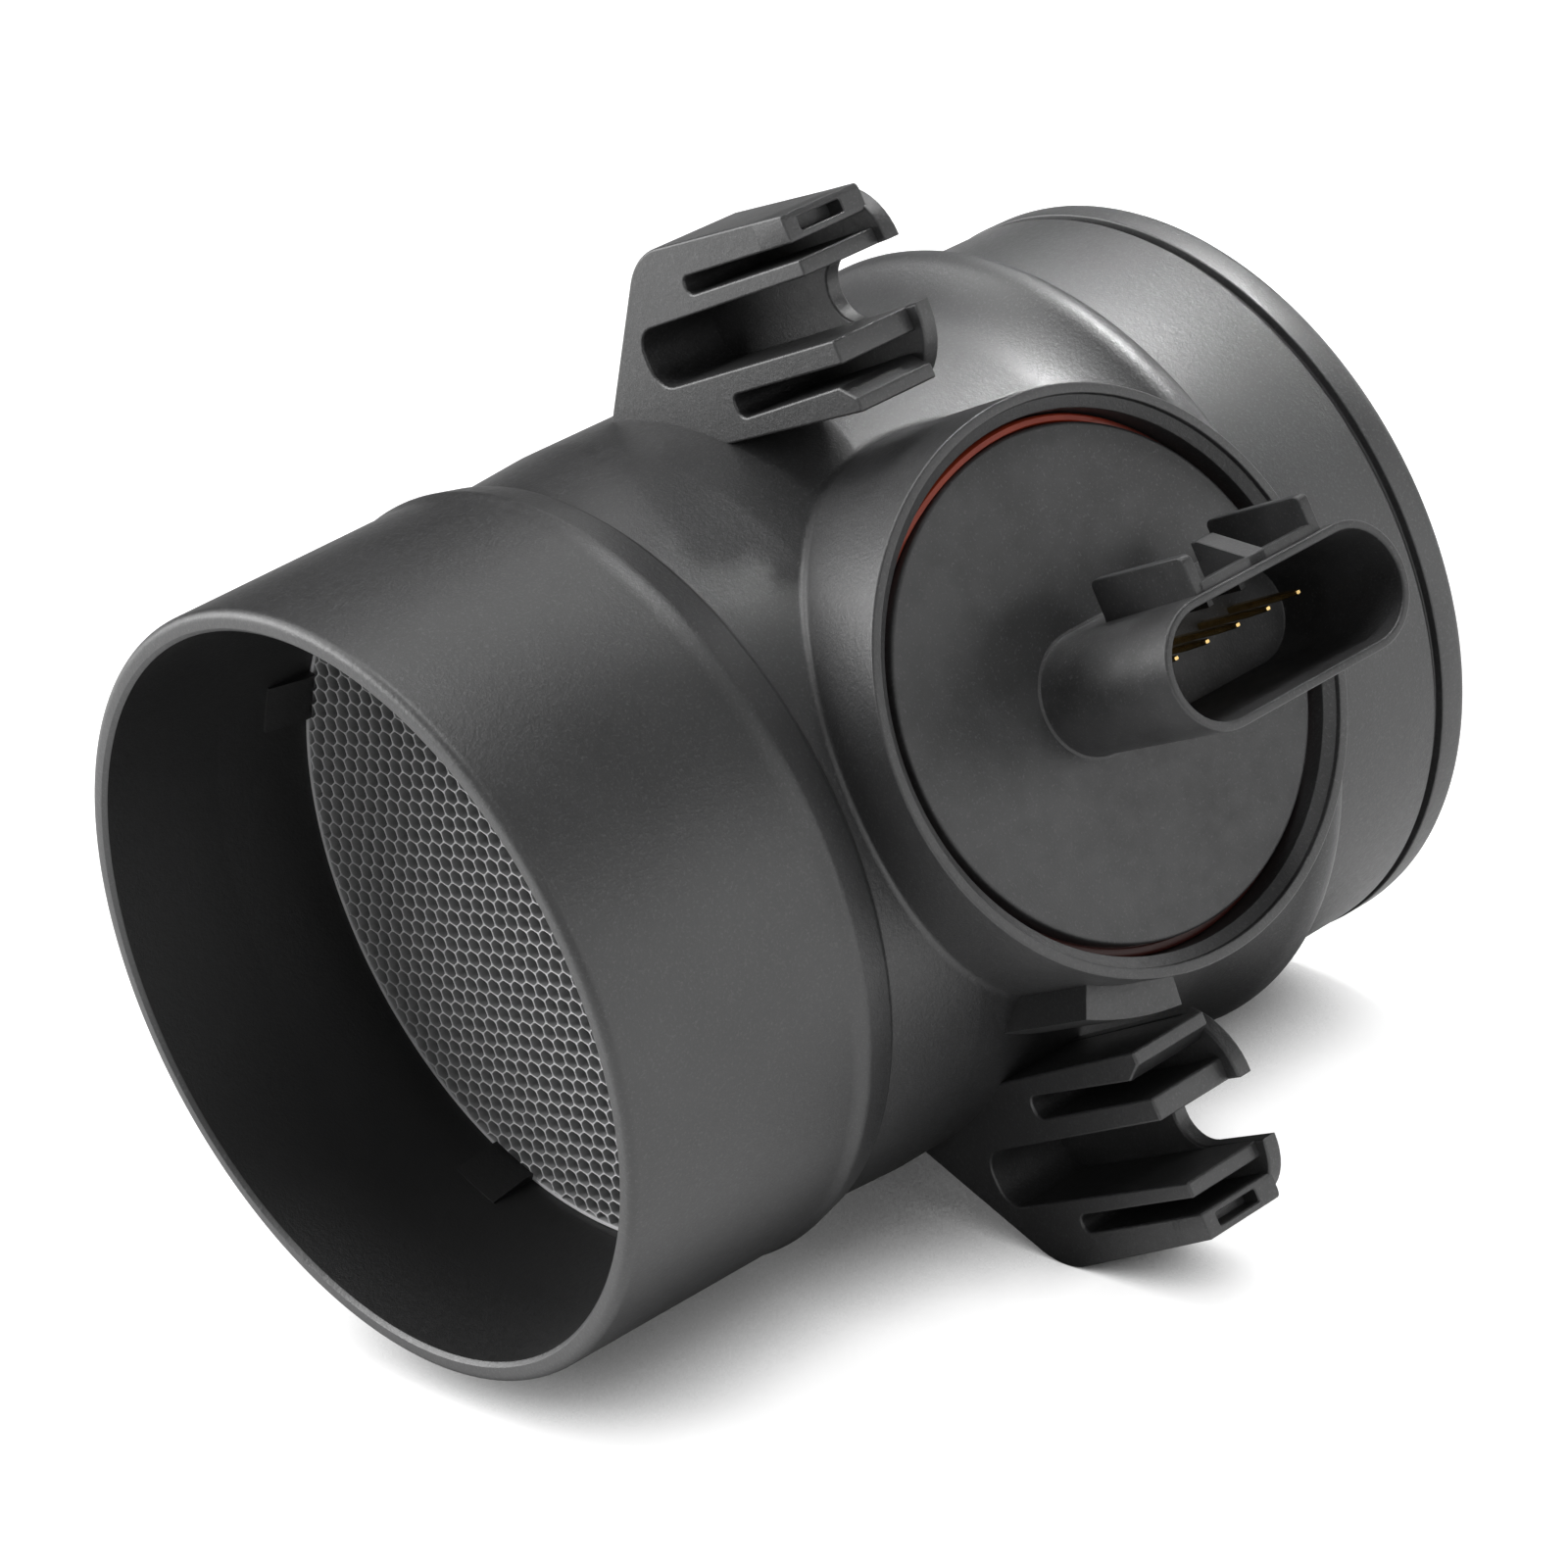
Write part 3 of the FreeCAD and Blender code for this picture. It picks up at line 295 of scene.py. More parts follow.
def rounded(corners, steps=5):
    """A closed outline with its corners rounded: each corner is (across, up, radius), and each
    round is an arc tangent to both sides."""
    count = len(corners)
    spots = np.array([c[:2] for c in corners], float)
    out = []
    for i, (_, _, radius) in enumerate(corners):
        here, before, after = spots[i], spots[i - 1], spots[(i + 1) % count]
        if radius <= 0:
            out.append(here[None])
            continue
        a = (before - here) / np.linalg.norm(before - here)
        b = (after - here) / np.linalg.norm(after - here)
        opening = math.acos(np.clip(a @ b, -1, 1))
        reach = radius / math.tan(opening / 2)
        centre = here + (a + b) / np.linalg.norm(a + b) * radius / math.sin(opening / 2)
        first, second = here + a * reach - centre, here + b * reach - centre
        angle = math.acos(np.clip(first @ second / radius ** 2, -1, 1))
        t = np.linspace(0, 1, steps + 1)[:, None]
        sweep = (np.sin((1 - t) * angle) * first + np.sin(t * angle) * second) / math.sin(angle)
        out.append(centre + sweep)
    return np.concatenate(out)


def inset(outline, distance):
    """The outline moved inwards by a distance, corner by corner, along its mitres."""
    after = np.roll(outline, -1, axis=0)
    area = np.sum(outline[:, 0] * after[:, 1] - after[:, 0] * outline[:, 1])
    side = after - outline
    side /= np.linalg.norm(side, axis=1)[:, None]
    normal = np.stack([-side[:, 1], side[:, 0]], axis=1) * np.sign(area)
    mitre = normal + np.roll(normal, 1, axis=0)
    mitre /= np.maximum(np.sum(mitre * normal, axis=1), 0.2)[:, None]
    return outline + mitre * distance


def prism(shells, outline, low, high, bevel, place):
    """An outline carried along a third axis from low to high, its end edges rounded off by a
    quarter circle of radius bevel. A narrow ring on either side of the round keeps the flat faces
    flat when shaded. place(across, up, along) gives points."""
    turn = np.linspace(0, math.pi / 2, 4)
    start = [(bevel * (1 - math.sin(a)), bevel * (1 - math.cos(a))) for a in turn]
    start = [(bevel + HOLD, 0.0)] + start + [(0.0, bevel + HOLD)]
    end = [(pull, high - along) for pull, along in reversed(start)]
    rings = []
    for pull, along in [(pull, low + along) for pull, along in start] + end:
        ring = inset(outline, pull)
        rings.append(place(ring[:, 0], ring[:, 1], np.full(len(ring), along)))
    shells.grid(np.stack(rings), wrap_rows=False, caps=True)


def across_duct(y, z, x):
    """Places an outline of (y, z) that is carried along X."""
    return np.stack([x, y, z], axis=-1)


def above_cover(x, y, z):
    """Places an outline of (x, y) that is carried along Z."""
    return np.stack([x, y, z], axis=-1)


def spin_duct(profile, steps=ROUND_STEPS):
    """A profile of (x, radius) turned about the duct's axis."""
    angle = np.linspace(0, 2 * math.pi, steps, endpoint=False)[None, :]
    x = np.repeat(profile[:, :1], steps, axis=1)
    return np.stack([x, profile[:, 1:] * np.cos(angle), profile[:, 1:] * np.sin(angle)], axis=-1)


def spin_puck(profile, steps=ROUND_STEPS):
    """A profile of (radius, z) turned about the puck's axis."""
    angle = np.linspace(0, 2 * math.pi, steps, endpoint=False)[None, :]
    z = np.repeat(profile[:, 1:], steps, axis=1)
    return np.stack([CUP_X + profile[:, :1] * np.cos(angle), profile[:, :1] * np.sin(angle), z],
                    axis=-1)


def duct_outside():
    """The duct's outer outline from inlet to outlet as (x, radius). The corners at radius 40 and
    at x 80 only give the sides that the rounds beside them are tangent to, and are cut off."""
    foot = CREST_RADIUS - CREST_ROUND * (1 - math.sqrt(0.5))
    crest_start = (CREST_X - CREST_ROUND * math.sqrt(0.5), foot)
    crest_end = (CREST_X + CREST_ROUND * 0.8, CREST_RADIUS - CREST_ROUND * 0.4)
    flare = arc((FLARE_X, MIDDLE_RADIUS), crest_start, FLARE_ROUND, steps=16)
    crest = arc(crest_start, crest_end, CREST_ROUND, right=True, steps=12)
    inlet = rounded([
        (30.0, 40.0, 0), (0.0, 40.0, 0), (0.0, INLET_TIP_RADIUS, 1.3), RIDGE_FOOT + (6.0,),
        RIDGE_TOP + (2.4,), RIDGE_BACK + (1.2,), NECK + (0.6,), (MIDDLE_X, MIDDLE_RADIUS, 12.0),
        (80.0, MIDDLE_RADIUS, 0),
    ], steps=8)[2:-1]
    outlet = rounded([
        (SPIGOT_X, 40.0, 0), (SPIGOT_X, SPIGOT_RADIUS, 0), (GROOVE_X, SPIGOT_RADIUS, 0.15),
        (GROOVE_X, GROOVE_RADIUS, 0.2), (LIP_X, GROOVE_RADIUS, 0.2), (LIP_X, LIP_RADIUS, 0.25),
        (DUCT_LENGTH, LIP_RADIUS, 1.3), (DUCT_LENGTH, 40.0, 0),
    ], steps=5)[1:-1]
    return np.concatenate([inlet, flare, crest[1:], outlet])


def duct_inside():
    """The bore's outline from outlet to inlet as (x, radius)."""
    return rounded([
        (DUCT_LENGTH, OUTLET_BORE + 2, 0), (DUCT_LENGTH, OUTLET_BORE, 0.3),
        (OUTLET_TAPER_END, OUTLET_BORE, 2.0), (OUTLET_TAPER_START, MIDDLE_BORE, 2.0),
        (SEAT_END, MIDDLE_BORE, 0.3), (SEAT_END, SEAT_BORE, 0.2), (SEAT_TAPER_END, SEAT_BORE, 2.0),
        (SEAT_TAPER_START, INLET_BORE, 2.0), (0.55, INLET_BORE, 0.15),
        (0.0, INLET_BORE + 0.55, 0.15), (0.0, 53.0, 0),
    ], steps=4)[1:-1]


OUTSIDE = duct_outside()


def outside_radius(x):
    """The duct's outer radius at a place along it."""
    return np.interp(x, OUTSIDE[:, 0], OUTSIDE[:, 1])


def add_duct(shells):
    shells.grid(spin_duct(np.concatenate([OUTSIDE, duct_inside()])))


def add_cup(shells):
    """The puck's cup: a profile turned about the puck's axis, whose underside follows the duct."""
    wall = rounded([
        (0.0, CUP_FLOOR, 0), (CUP_WELL, CUP_FLOOR, 0.3), (CUP_WELL, CUP_LEDGE, 0.2),
        (CUP_BORE, CUP_LEDGE, 0.2), (CUP_BORE, CUP_RIM - 1.5, 0.2), (RIM_BAND, CUP_RIM - 0.7, 0.15),
        (RIM_BAND, CUP_RIM, 0.2), (CUP_RADIUS, CUP_RIM, 0.3), (CUP_RADIUS, CUP_FLOOR, 0),
    ], steps=5)[1:-1]
    upper = spin_puck(np.concatenate([[[POLE, CUP_FLOOR]], wall]))
    reach = np.linspace(1, 0, 12)[:, None] * CUP_RADIUS
    angle = np.linspace(0, 2 * math.pi, ROUND_STEPS, endpoint=False)[None, :]
    x, y = CUP_X + reach * np.cos(angle), reach * np.sin(angle)
    x[-1], y[-1] = CUP_X + POLE * np.cos(angle), POLE * np.sin(angle)
    middle_of_wall = (MIDDLE_BORE + MIDDLE_RADIUS) / 2
    under = np.stack([x, y, np.sqrt(middle_of_wall ** 2 - y ** 2)], axis=-1)
    shells.grid(np.concatenate([upper, under]), wrap_rows=False, caps=True)


def add_cup_foot(shells, size=0.7):
    """The round where the cup's wall meets the duct. Its section is a quadratic curve from a
    point on the wall to a point on the duct, controlled by the corner between them, and goes
    back inside both."""
    angle = np.linspace(0, 2 * math.pi, ROUND_STEPS, endpoint=False)

    def on_duct(radius):
        x, y = CUP_X + radius * np.cos(angle), radius * np.sin(angle)
        return np.stack([x, y, np.sqrt(outside_radius(x) ** 2 - y ** 2)], axis=-1)

    corner, foot = on_duct(CUP_RADIUS), on_duct(CUP_RADIUS + size)
    slope = (corner[:, 2] - foot[:, 2])[:, None] / size
    top = corner + np.array([0, 0, 1.0]) * size * (1 + 0.6 * slope)
    rings = [(1 - t) ** 2 * top + 2 * t * (1 - t) * corner + t ** 2 * foot
             for t in np.linspace(0, 1, 9)]
    under = on_duct(CUP_RADIUS - 0.4) - np.array([0, 0, 0.6])
    rings += [foot - np.array([0, 0, 0.3]), under, top - corner + under]
    shells.grid(np.stack(rings))


def fork_outlines():
    """The comb's outline and the back plate's, as (y, z), for the upper bracket."""
    bend_y, bend_z = FORK_BEND
    slant = math.sqrt(0.5) * FORK_BEND_ROUND
    bend = arc((bend_y + slant, bend_z - slant), (bend_y + FORK_BEND_ROUND, bend_z), FORK_BEND_ROUND,
               steps=10)
    foot_y = 47.0
    foot = (foot_y, bend_z - slant - (bend_y + slant - foot_y), 0)
    root = (43.6, 18.5, 0)
    bend = [(p[0], p[1], 0) for p in bend]
    edge = 0.35
    # up the outer arm, then over slot, rib, throat, rib and slot to the inner arm
    comb = rounded([foot] + bend + [
        (ARM_OUTSIDE, ARM_FOOT, 0), (ARM_OUTSIDE - 0.04, ARM_FOOT + 0.4, 0),
        (ARM_INSIDE + 0.04, ARM_FOOT + 0.4, 0), (ARM_INSIDE, ARM_FOOT, 0),
        (64.2, SLOT_FOOT, 1.15), (61.8, SLOT_FOOT, 1.15), (61.2, FORK_END, edge),
        (THROAT_OUTER, FORK_END, edge), (59.8, THROAT_FOOT, 3.2),
        (52.1, THROAT_FOOT, 3.2), (THROAT_INNER, FORK_END, edge), (47.85, FORK_END, edge),
        (48.65, SLOT_FOOT, 1.3), (45.55, SLOT_FOOT, 1.3), (45.4, FORK_END - 2.6, 0.5),
        (43.5, FORK_END, edge), (41.7, FORK_END, edge), root,
    ], steps=5)
    outer = arc((THROAT_OUTER + 7.76, FORK_END - 4.4), (THROAT_OUTER, 55.62), 8.0, steps=9)
    floor = arc((THROAT_OUTER, THROAT_DEPTH), (THROAT_INNER, THROAT_DEPTH), THROAT_HALF * 1.0001,
                right=True, steps=16)
    inner = arc((THROAT_INNER, 56.0), (41.7, FORK_END - 3.9), 9.5, steps=9)
    plate = np.concatenate([np.array([foot[:2]]), np.array(bend)[:, :2], outer, floor, inner,
                            np.array([root[:2]])])
    return comb, plate


def add_arm_tip(shells, side, bevel=0.3):
    """The end of an outer arm: rings round its section, up its outside, over its end face and
    down the walls of the window in it to the window's floor. The edge round is drawn in further
    on the arm's outer side."""
    def ring(x_range, y_range, z):
        corners = rounded([(x_range[0], y_range[0], bevel), (x_range[1], y_range[0], bevel),
                           (x_range[1], y_range[1], bevel), (x_range[0], y_range[1], bevel)], steps=3)
        return np.stack([corners[:, 0], side * corners[:, 1], np.full(len(corners), z)], axis=1)

    def outside(pull, z):
        share = (z - ARM_FOOT) / (FORK_END - ARM_FOOT)
        return ring((FORK_FRONT + pull, COMB_END + 0.5),
                    (ARM_INSIDE - ARM_LEAN[0] * share + pull,
                     ARM_OUTSIDE - ARM_LEAN[1] * share - ARM_DRAW * pull), z)

    def window(grow, z):
        half_x, half_y = WINDOW_LENGTH / 2 + grow, WINDOW_WIDTH / 2 + grow
        return ring((WINDOW_X - half_x, WINDOW_X + half_x),
                    (WINDOW_Y - half_y, WINDOW_Y + half_y), z)

    turn = np.linspace(0, math.pi / 2, 4)
    rings = [outside(0, ARM_FOOT + 0.08)]
    rings += [outside(bevel * (1 - math.cos(a)), FORK_END - bevel * (1 - math.sin(a)))
              for a in turn]
    rings += [window(0.15, FORK_END), window(0.0, FORK_END - 0.15),
              window(-0.1, FORK_END - WINDOW_DEPTH)]
    shells.grid(np.stack(rings), wrap_rows=False, caps=True)


def add_brackets(shells):
    """Both brackets, and the web between the lower one and the cup, which is a part of a ring
    round the cup."""
    comb, plate = fork_outlines()
    for side in (1, -1):
        flip = np.array([side, 1])
        prism(shells, comb * flip, FORK_FRONT, COMB_END + 0.4, 0.3, across_duct)
        prism(shells, plate * flip, COMB_END, COMB_END + FORK_PLATE, 0.3, across_duct)
        add_arm_tip(shells, side)
    turn = np.radians(np.linspace(*WEB_TURN, 12))
    spokes = np.stack([np.cos(turn), np.sin(turn)], axis=1)
    web = np.concatenate([spokes * (CUP_RADIUS - 0.5), spokes[::-1] * (CUP_RADIUS + WEB_WIDTH)])
    prism(shells, web + np.array([CUP_X, 0]), WEB_TOP - WEB_DEPTH, WEB_TOP, 0.15, above_cover)


def add_snap_tabs(shells):
    """Four wedges on the bore, each a low ramp with a square back."""
    foot, top = SEAT_BORE + 0.5, SEAT_BORE - TAB_HEIGHT
    profile = np.array([(TAB_START, foot), (TAB_START, SEAT_BORE), (TAB_RAMP_END, top),
                        (STRAIGHTENER_X, top), (STRAIGHTENER_X, foot)])
    for middle in (45, 135, 225, 315):
        turn = np.linspace(middle - TAB_HALF_TURN, middle + TAB_HALF_TURN, 7)
        angle = np.radians(turn)[:, None]
        x = np.repeat(profile[None, :, 0], len(turn), axis=0)
        y, z = profile[None, :, 1] * np.cos(angle), profile[None, :, 1] * np.sin(angle)
        shells.grid(np.stack([x, y, z], axis=-1), wrap_rows=False, caps=True)


def make_housing():
    shells = Shells()
    add_duct(shells)
    add_cup(shells)
    add_cup_foot(shells)
    add_brackets(shells)
    add_snap_tabs(shells)
    piece = shells.piece("housing_moulding")
    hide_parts("sensor_housing")
    return piece


def make_seal():
    """The seal's section turned about the puck. Where the cover squeezes it, on the upper left,
    its top swells beside the cover: the rise falls with the fifth power of the cosine of the
    angle from there."""
    shells = Shells()
    section = rounded([
        (SEAL_BORE, CUP_LEDGE, 0.1), (SEAL_RADIUS, CUP_LEDGE, 0.1), (SEAL_RADIUS, SEAL_TOP, 0.5),
        (SEAL_STEP, SEAL_TOP, 0.2), (SEAL_STEP, COVER_LOW, 0), (SEAL_BORE, COVER_LOW, 0),
    ], steps=4)
    grid = spin_puck(section)
    angle = np.arctan2(grid[..., 1], grid[..., 0] - CUP_X)
    swell = np.clip(np.cos(angle - math.radians(SQUEEZED)), 0, 1) ** 5
    beside_cover = np.hypot(grid[..., 1], grid[..., 0] - CUP_X) > SEAL_STEP - 0.01
    share = np.clip((grid[..., 2] - SWELL_START) / (SEAL_TOP - SWELL_START), 0, 1)
    grid[..., 2] += SEAL_SWELL * swell * share * beside_cover
    shells.grid(grid)
    piece = shells.piece("seal_ring")
    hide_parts("cover_seal")
    return piece


def stadium(radius, height, steps=24):
    """A ring round the shroud's oval section at a height above the duct's axis."""
    angle = np.linspace(-math.pi / 2, math.pi / 2, steps)
    right = np.stack([SHROUD_HALF + radius * np.cos(angle), radius * np.sin(angle)], axis=1)
    loop = np.concatenate([right, -right]) + np.array([SHROUD_X, SHROUD_Y])
    return np.column_stack([loop, np.full(len(loop), height)])


def add_shroud(shells):
    """The oval shroud, its rings given by (radius, height), up outside and down inside."""
    turn = np.linspace(0, math.pi, 9)
    middle = SHROUD_MOUTH_RADIUS - SHROUD_WALL / 2
    lip = 0.35
    rim = [(SHROUD_MOUTH_RADIUS - lip + lip * math.cos(a), SHROUD_MOUTH - lip + lip * math.sin(a))
           for a in turn[:5]]
    rim += [(2 * middle - r, h) for r, h in reversed(rim)]
    inner_floor = SHROUD_FOOT_RADIUS - SHROUD_WALL
    rings = [(SHROUD_FOOT_RADIUS + 0.5, COVER_TOP - 0.4), (SHROUD_FOOT_RADIUS + 0.5, COVER_TOP),
             (SHROUD_FOOT_RADIUS + 0.15, COVER_TOP + 0.15), (SHROUD_FOOT_RADIUS, COVER_TOP + 0.5)]
    rings += rim
    rings += [(inner_floor, SOCKET_FLOOR + 0.4), (inner_floor - 0.12, SOCKET_FLOOR + 0.12),
              (inner_floor - 0.4, SOCKET_FLOOR)]
    shells.grid(np.stack([stadium(r, h) for r, h in rings]), wrap_rows=False, caps=True)


def block(shells, x, y, z, bevel=0.15, corner=0.2):
    """A block between two corners, given as ranges along each axis, its outline rounded."""
    outline = rounded([(x[0], y[0], corner), (x[1], y[0], corner), (x[1], y[1], corner),
                       (x[0], y[1], corner)], steps=3)
    prism(shells, outline, z[0], z[1], bevel, above_cover)


def add_latch(shells):
    """Guard walls, wedge and bar on the shroud's upper side. Each is sunk a little into it."""
    top = SHROUD_Y + SHROUD_MOUTH_RADIUS
    foot = top - SUNK
    for side in (-1, 1):
        middle = SHROUD_X + side * GUARD_REACH
        outline = rounded([(foot, GUARD_FOOT, 0.4), (top + GUARD_HEIGHT, GUARD_FOOT, 0.9),
                           (top + GUARD_HEIGHT, LATCH_FRONT, 1.0), (foot, LATCH_FRONT, 0.3)], steps=5)
        prism(shells, outline, middle - GUARD_HALF, middle + GUARD_HALF, 0.2, across_duct)
    back = LATCH_FRONT - WEDGE_LENGTH
    wedge = rounded([(foot, back, 0.2), (top + WEDGE_HEIGHT, back, 0.3),
                     (top + WEDGE_HEIGHT, back + WEDGE_FLAT, 0.4), (top + BAR_HEIGHT, LATCH_FRONT, 0.3),
                     (foot, LATCH_FRONT, 0.2)], steps=4)
    prism(shells, wedge, SHROUD_X - WEDGE_HALF, SHROUD_X + WEDGE_HALF, 0.15, across_duct)
    block(shells, (SHROUD_X - GUARD_REACH, SHROUD_X + GUARD_REACH), (foot, top + BAR_HEIGHT),
          (LATCH_FRONT - BAR_DEPTH, LATCH_FRONT))


def add_keys(shells):
    """Two keys that stand on the socket's floor."""
    for side in (-1, 1):
        middle = KEYS_X + side * KEY_REACH
        block(shells, (middle - KEY_HALF, middle + KEY_HALF), KEY_Y,
              (SOCKET_FLOOR - 0.3, SOCKET_FLOOR + KEY_HEIGHT), bevel=0.1, corner=0.15)


def make_pin(place):
    """A pin: rounded oblong rings up its length, drawn in over its last millimetres."""
    shells = Shells()
    middle = SHROUD_X + (place - PIN_COUNT // 2) * PIN_PITCH
    stages = [(PIN_WIDTH, PIN_THICK, PIN_FOOT), (PIN_WIDTH, PIN_THICK, PIN_TOP - 3.2),
              (0.95, 0.66, PIN_TOP - 1.2), (0.85, 0.6, PIN_TOP - 0.3), (0.6, 0.4, PIN_TOP)]
    rings = []
    for width, thick, height in stages:
        left, right = middle - width / 2, middle + width / 2
        low, high = PIN_Y - thick / 2, PIN_Y + thick / 2
        loop = rounded([(left, low, 0.12), (right, low, 0.12), (right, high, 0.12),
                        (left, high, 0.12)], steps=3)
        rings.append(np.column_stack([loop, np.full(len(loop), height)]))
    shells.grid(np.stack(rings), wrap_rows=False, caps=True)
    piece = shells.piece("pin_blade_%d" % (place + 1))
    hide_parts("terminal_pin_%d" % (place + 1))
    return piece


def make_cover():
    """The cover: a disc with a skirt down into the cup, the shroud, its latch and its keys."""
    shells = Shells()
    disc = rounded([
        (POLE, COVER_LOW, 0), (SKIRT_INSIDE, COVER_LOW, 0), (SKIRT_INSIDE, SKIRT_FOOT, 0),
        (SKIRT_OUTSIDE, SKIRT_FOOT, 0), (SKIRT_OUTSIDE, COVER_LOW, 0), (COVER_RADIUS, COVER_LOW, 0),
        (COVER_RADIUS, COVER_TOP, 0.5), (POLE, COVER_TOP, 0),
    ], steps=5)
    shells.grid(spin_puck(disc), wrap_rows=False, caps=True)
    add_shroud(shells)
    add_latch(shells)
    add_keys(shells)
    piece = shells.piece("cover_moulding")
    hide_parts("connector_cover")
    return piece


def make_honeycomb():
    """Foil honeycomb. Cell centres lie at i * row + j * step for whole i and j, and a cell's six
    corners are the middles of the triangles that its neighbours' centres make with its own. Each
    cell is a tube whose wall is shared with its neighbours. Cells cut by the rim are drawn in to
    it, and small shifts of the corners give the foil its uneven look."""
    corner_cut = 0.16
    row, step = np.array(CELL_ROW), np.array(CELL_STEP)
    pitch = (np.linalg.norm(row) + np.linalg.norm(step)) / 2
    rim = SEAT_BORE - 0.1
    band = 0.5
    reach = int(rim / pitch * 1.3) + 2
    i, j = np.meshgrid(np.arange(-reach, reach + 1), np.arange(-reach, reach + 1))
    centres = i.ravel()[:, None] * row + j.ravel()[:, None] * step
    centres = centres[np.hypot(centres[:, 0], centres[:, 1]) < rim + 0.2 * pitch]
    around = [row, step, step - row, -row, -step, row - step]
    corners = np.array([(around[k] + around[(k + 1) % 6]) / 3 for k in range(6)])
    grid_corners = centres[:, None, :] + corners[None]
    wave = np.sin(grid_corners[..., ::-1] * 1.7 + 3.1 * np.sin(grid_corners * 0.53))
    grid_corners = grid_corners + 0.035 * wave
    middle = grid_corners.mean(axis=1, keepdims=True)
    inner = middle + (grid_corners - middle) * (1 - FOIL_THICK / pitch)
    before, after = np.roll(inner, 1, axis=1), np.roll(inner, -1, axis=1)
    near = inner + (before - inner) * corner_cut
    far = inner + (after - inner) * corner_cut
    outline = np.stack([near, far], axis=2).reshape(len(centres), 12, 2)
    border = np.repeat(grid_corners, 2, axis=1)

    def held(points, limit):
        distance = np.linalg.norm(points, axis=-1, keepdims=True)
        return points * np.minimum(1, limit / np.maximum(distance, 1e-6))

    outline, border = held(outline, rim - band), held(border, rim - band * 0.6)
    size = np.linalg.norm(outline.max(axis=1) - outline.min(axis=1), axis=-1)
    keep = size > pitch * 0.45
    outline, border = outline[keep], border[keep]
    front, back = STRAIGHTENER_X, SEAT_END
    lip = 0.05
    layers = [(border, front + lip), (outline, front), (outline, back), (border, back - lip)]
    shells = Shells()
    points = np.stack([np.concatenate([np.full(p.shape[:2] + (1,), x), p], axis=-1)
                       for p, x in layers], axis=1)
    cells, rings, sides = points.shape[:3]
    index = np.arange(cells * rings * sides).reshape(cells, rings, sides)
    beside = np.roll(index, -1, axis=2)
    quads = np.stack([index[:, :-1], beside[:, :-1], beside[:, 1:], index[:, 1:]], axis=-1)
    shells.add(points.reshape(-1, 3), quads.reshape(-1, 4).tolist())
    ring = rounded([(front - 0.1, rim - band, 0.1), (front - 0.1, rim, 0.1), (back, rim, 0.1),
                    (back, rim - band, 0.1)], steps=3)
    shells.grid(spin_duct(ring))
    piece = shells.piece("honeycomb_foil", sharp_angle=50.0, merge=1e-9)
    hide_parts("flow_straightener")
    return piece


class Nodes:
    """A material's node tree, built with short calls."""

    def __init__(self, name):
        self.material = bpy.data.materials.new(name)
        self.material.use_nodes = True
        self.tree = self.material.node_tree
        self.shader = self.tree.nodes["Principled BSDF"]
        self.place = self.add("ShaderNodeTexCoord").outputs["Object"]

    def add(self, kind, **values):
        node = self.tree.nodes.new(kind)
        for key, value in values.items():
            if key in node.inputs:
                node.inputs[key].default_value = value
            else:
                setattr(node, key, value)
        return node

    def link(self, source, target):
        self.tree.links.new(source, target)

    def noise(self, scale, detail=3.0, roughness=0.55):
        node = self.add("ShaderNodeTexNoise", Scale=scale, Detail=detail, Roughness=roughness)
        self.link(self.place, node.inputs["Vector"])
        return node.outputs["Fac"]

    def ramp(self, source, stops):
        node = self.add("ShaderNodeValToRGB")
        elements = node.color_ramp.elements
        while len(elements) < len(stops):
            elements.new(0.5)
        for element, (position, colour) in zip(elements, stops):
            element.position = position
            element.color = colour + (1.0,)
        self.link(source, node.inputs["Fac"])
        return node.outputs["Color"]

    def mix(self, factor, a, b):
        node = self.add("ShaderNodeMix", data_type="RGBA")
        for socket, value in ((node.inputs[0], factor), (node.inputs[6], a), (node.inputs[7], b)):
            if isinstance(value, tuple):
                socket.default_value = value + (1.0,)
            else:
                self.link(value, socket)
        return node.outputs[2]

    def math(self, operation, *values):
        node = self.add("ShaderNodeMath", operation=operation)
        for socket, value in zip(node.inputs, values):
            if isinstance(value, (int, float)):
                socket.default_value = value
            else:
                self.link(value, socket)
        return node.outputs[0]

    def along(self, direction, low, high):
        """0 to 1 as the place goes from low to high metres along a direction."""
        dot = self.add("ShaderNodeVectorMath", operation="DOT_PRODUCT")
        self.link(self.place, dot.inputs[0])
        dot.inputs[1].default_value = direction
        return self.span(dot.outputs["Value"], low, high)

    def span(self, source, low, high):
        node = self.add("ShaderNodeMapRange")
        self.link(source, node.inputs["Value"])
        node.inputs["From Min"].default_value, node.inputs["From Max"].default_value = low, high
        return node.outputs["Result"]

    def from_axis(self, low, high):
        """0 to 1 as the place goes from low to high metres away from the duct's axis."""
        flat = self.add("ShaderNodeVectorMath", operation="MULTIPLY")
        self.link(self.place, flat.inputs[0])
        flat.inputs[1].default_value = (0, 1, 1)
        length = self.add("ShaderNodeVectorMath", operation="LENGTH")
        self.link(flat.outputs["Vector"], length.inputs[0])
        return self.span(length.outputs["Value"], low, high)

    def bump(self, heights):
        """Bumps in a row: each is (height output, strength, depth in metres)."""
        last = None
        for height, strength, depth in heights:
            node = self.add("ShaderNodeBump", Strength=strength, Distance=depth)
            self.link(height, node.inputs["Height"])
            if last is not None:
                self.link(last, node.inputs["Normal"])
            last = node.outputs["Normal"]
        self.link(last, self.shader.inputs["Normal"])

    def finish(self, **values):
        for key, value in values.items():
            socket = self.shader.inputs[key.replace("_", " ")]
            if hasattr(value, "is_linked"):
                self.link(value, socket)
            elif isinstance(value, tuple):
                socket.default_value = value + (1.0,)
            else:
                socket.default_value = value
        return self.material


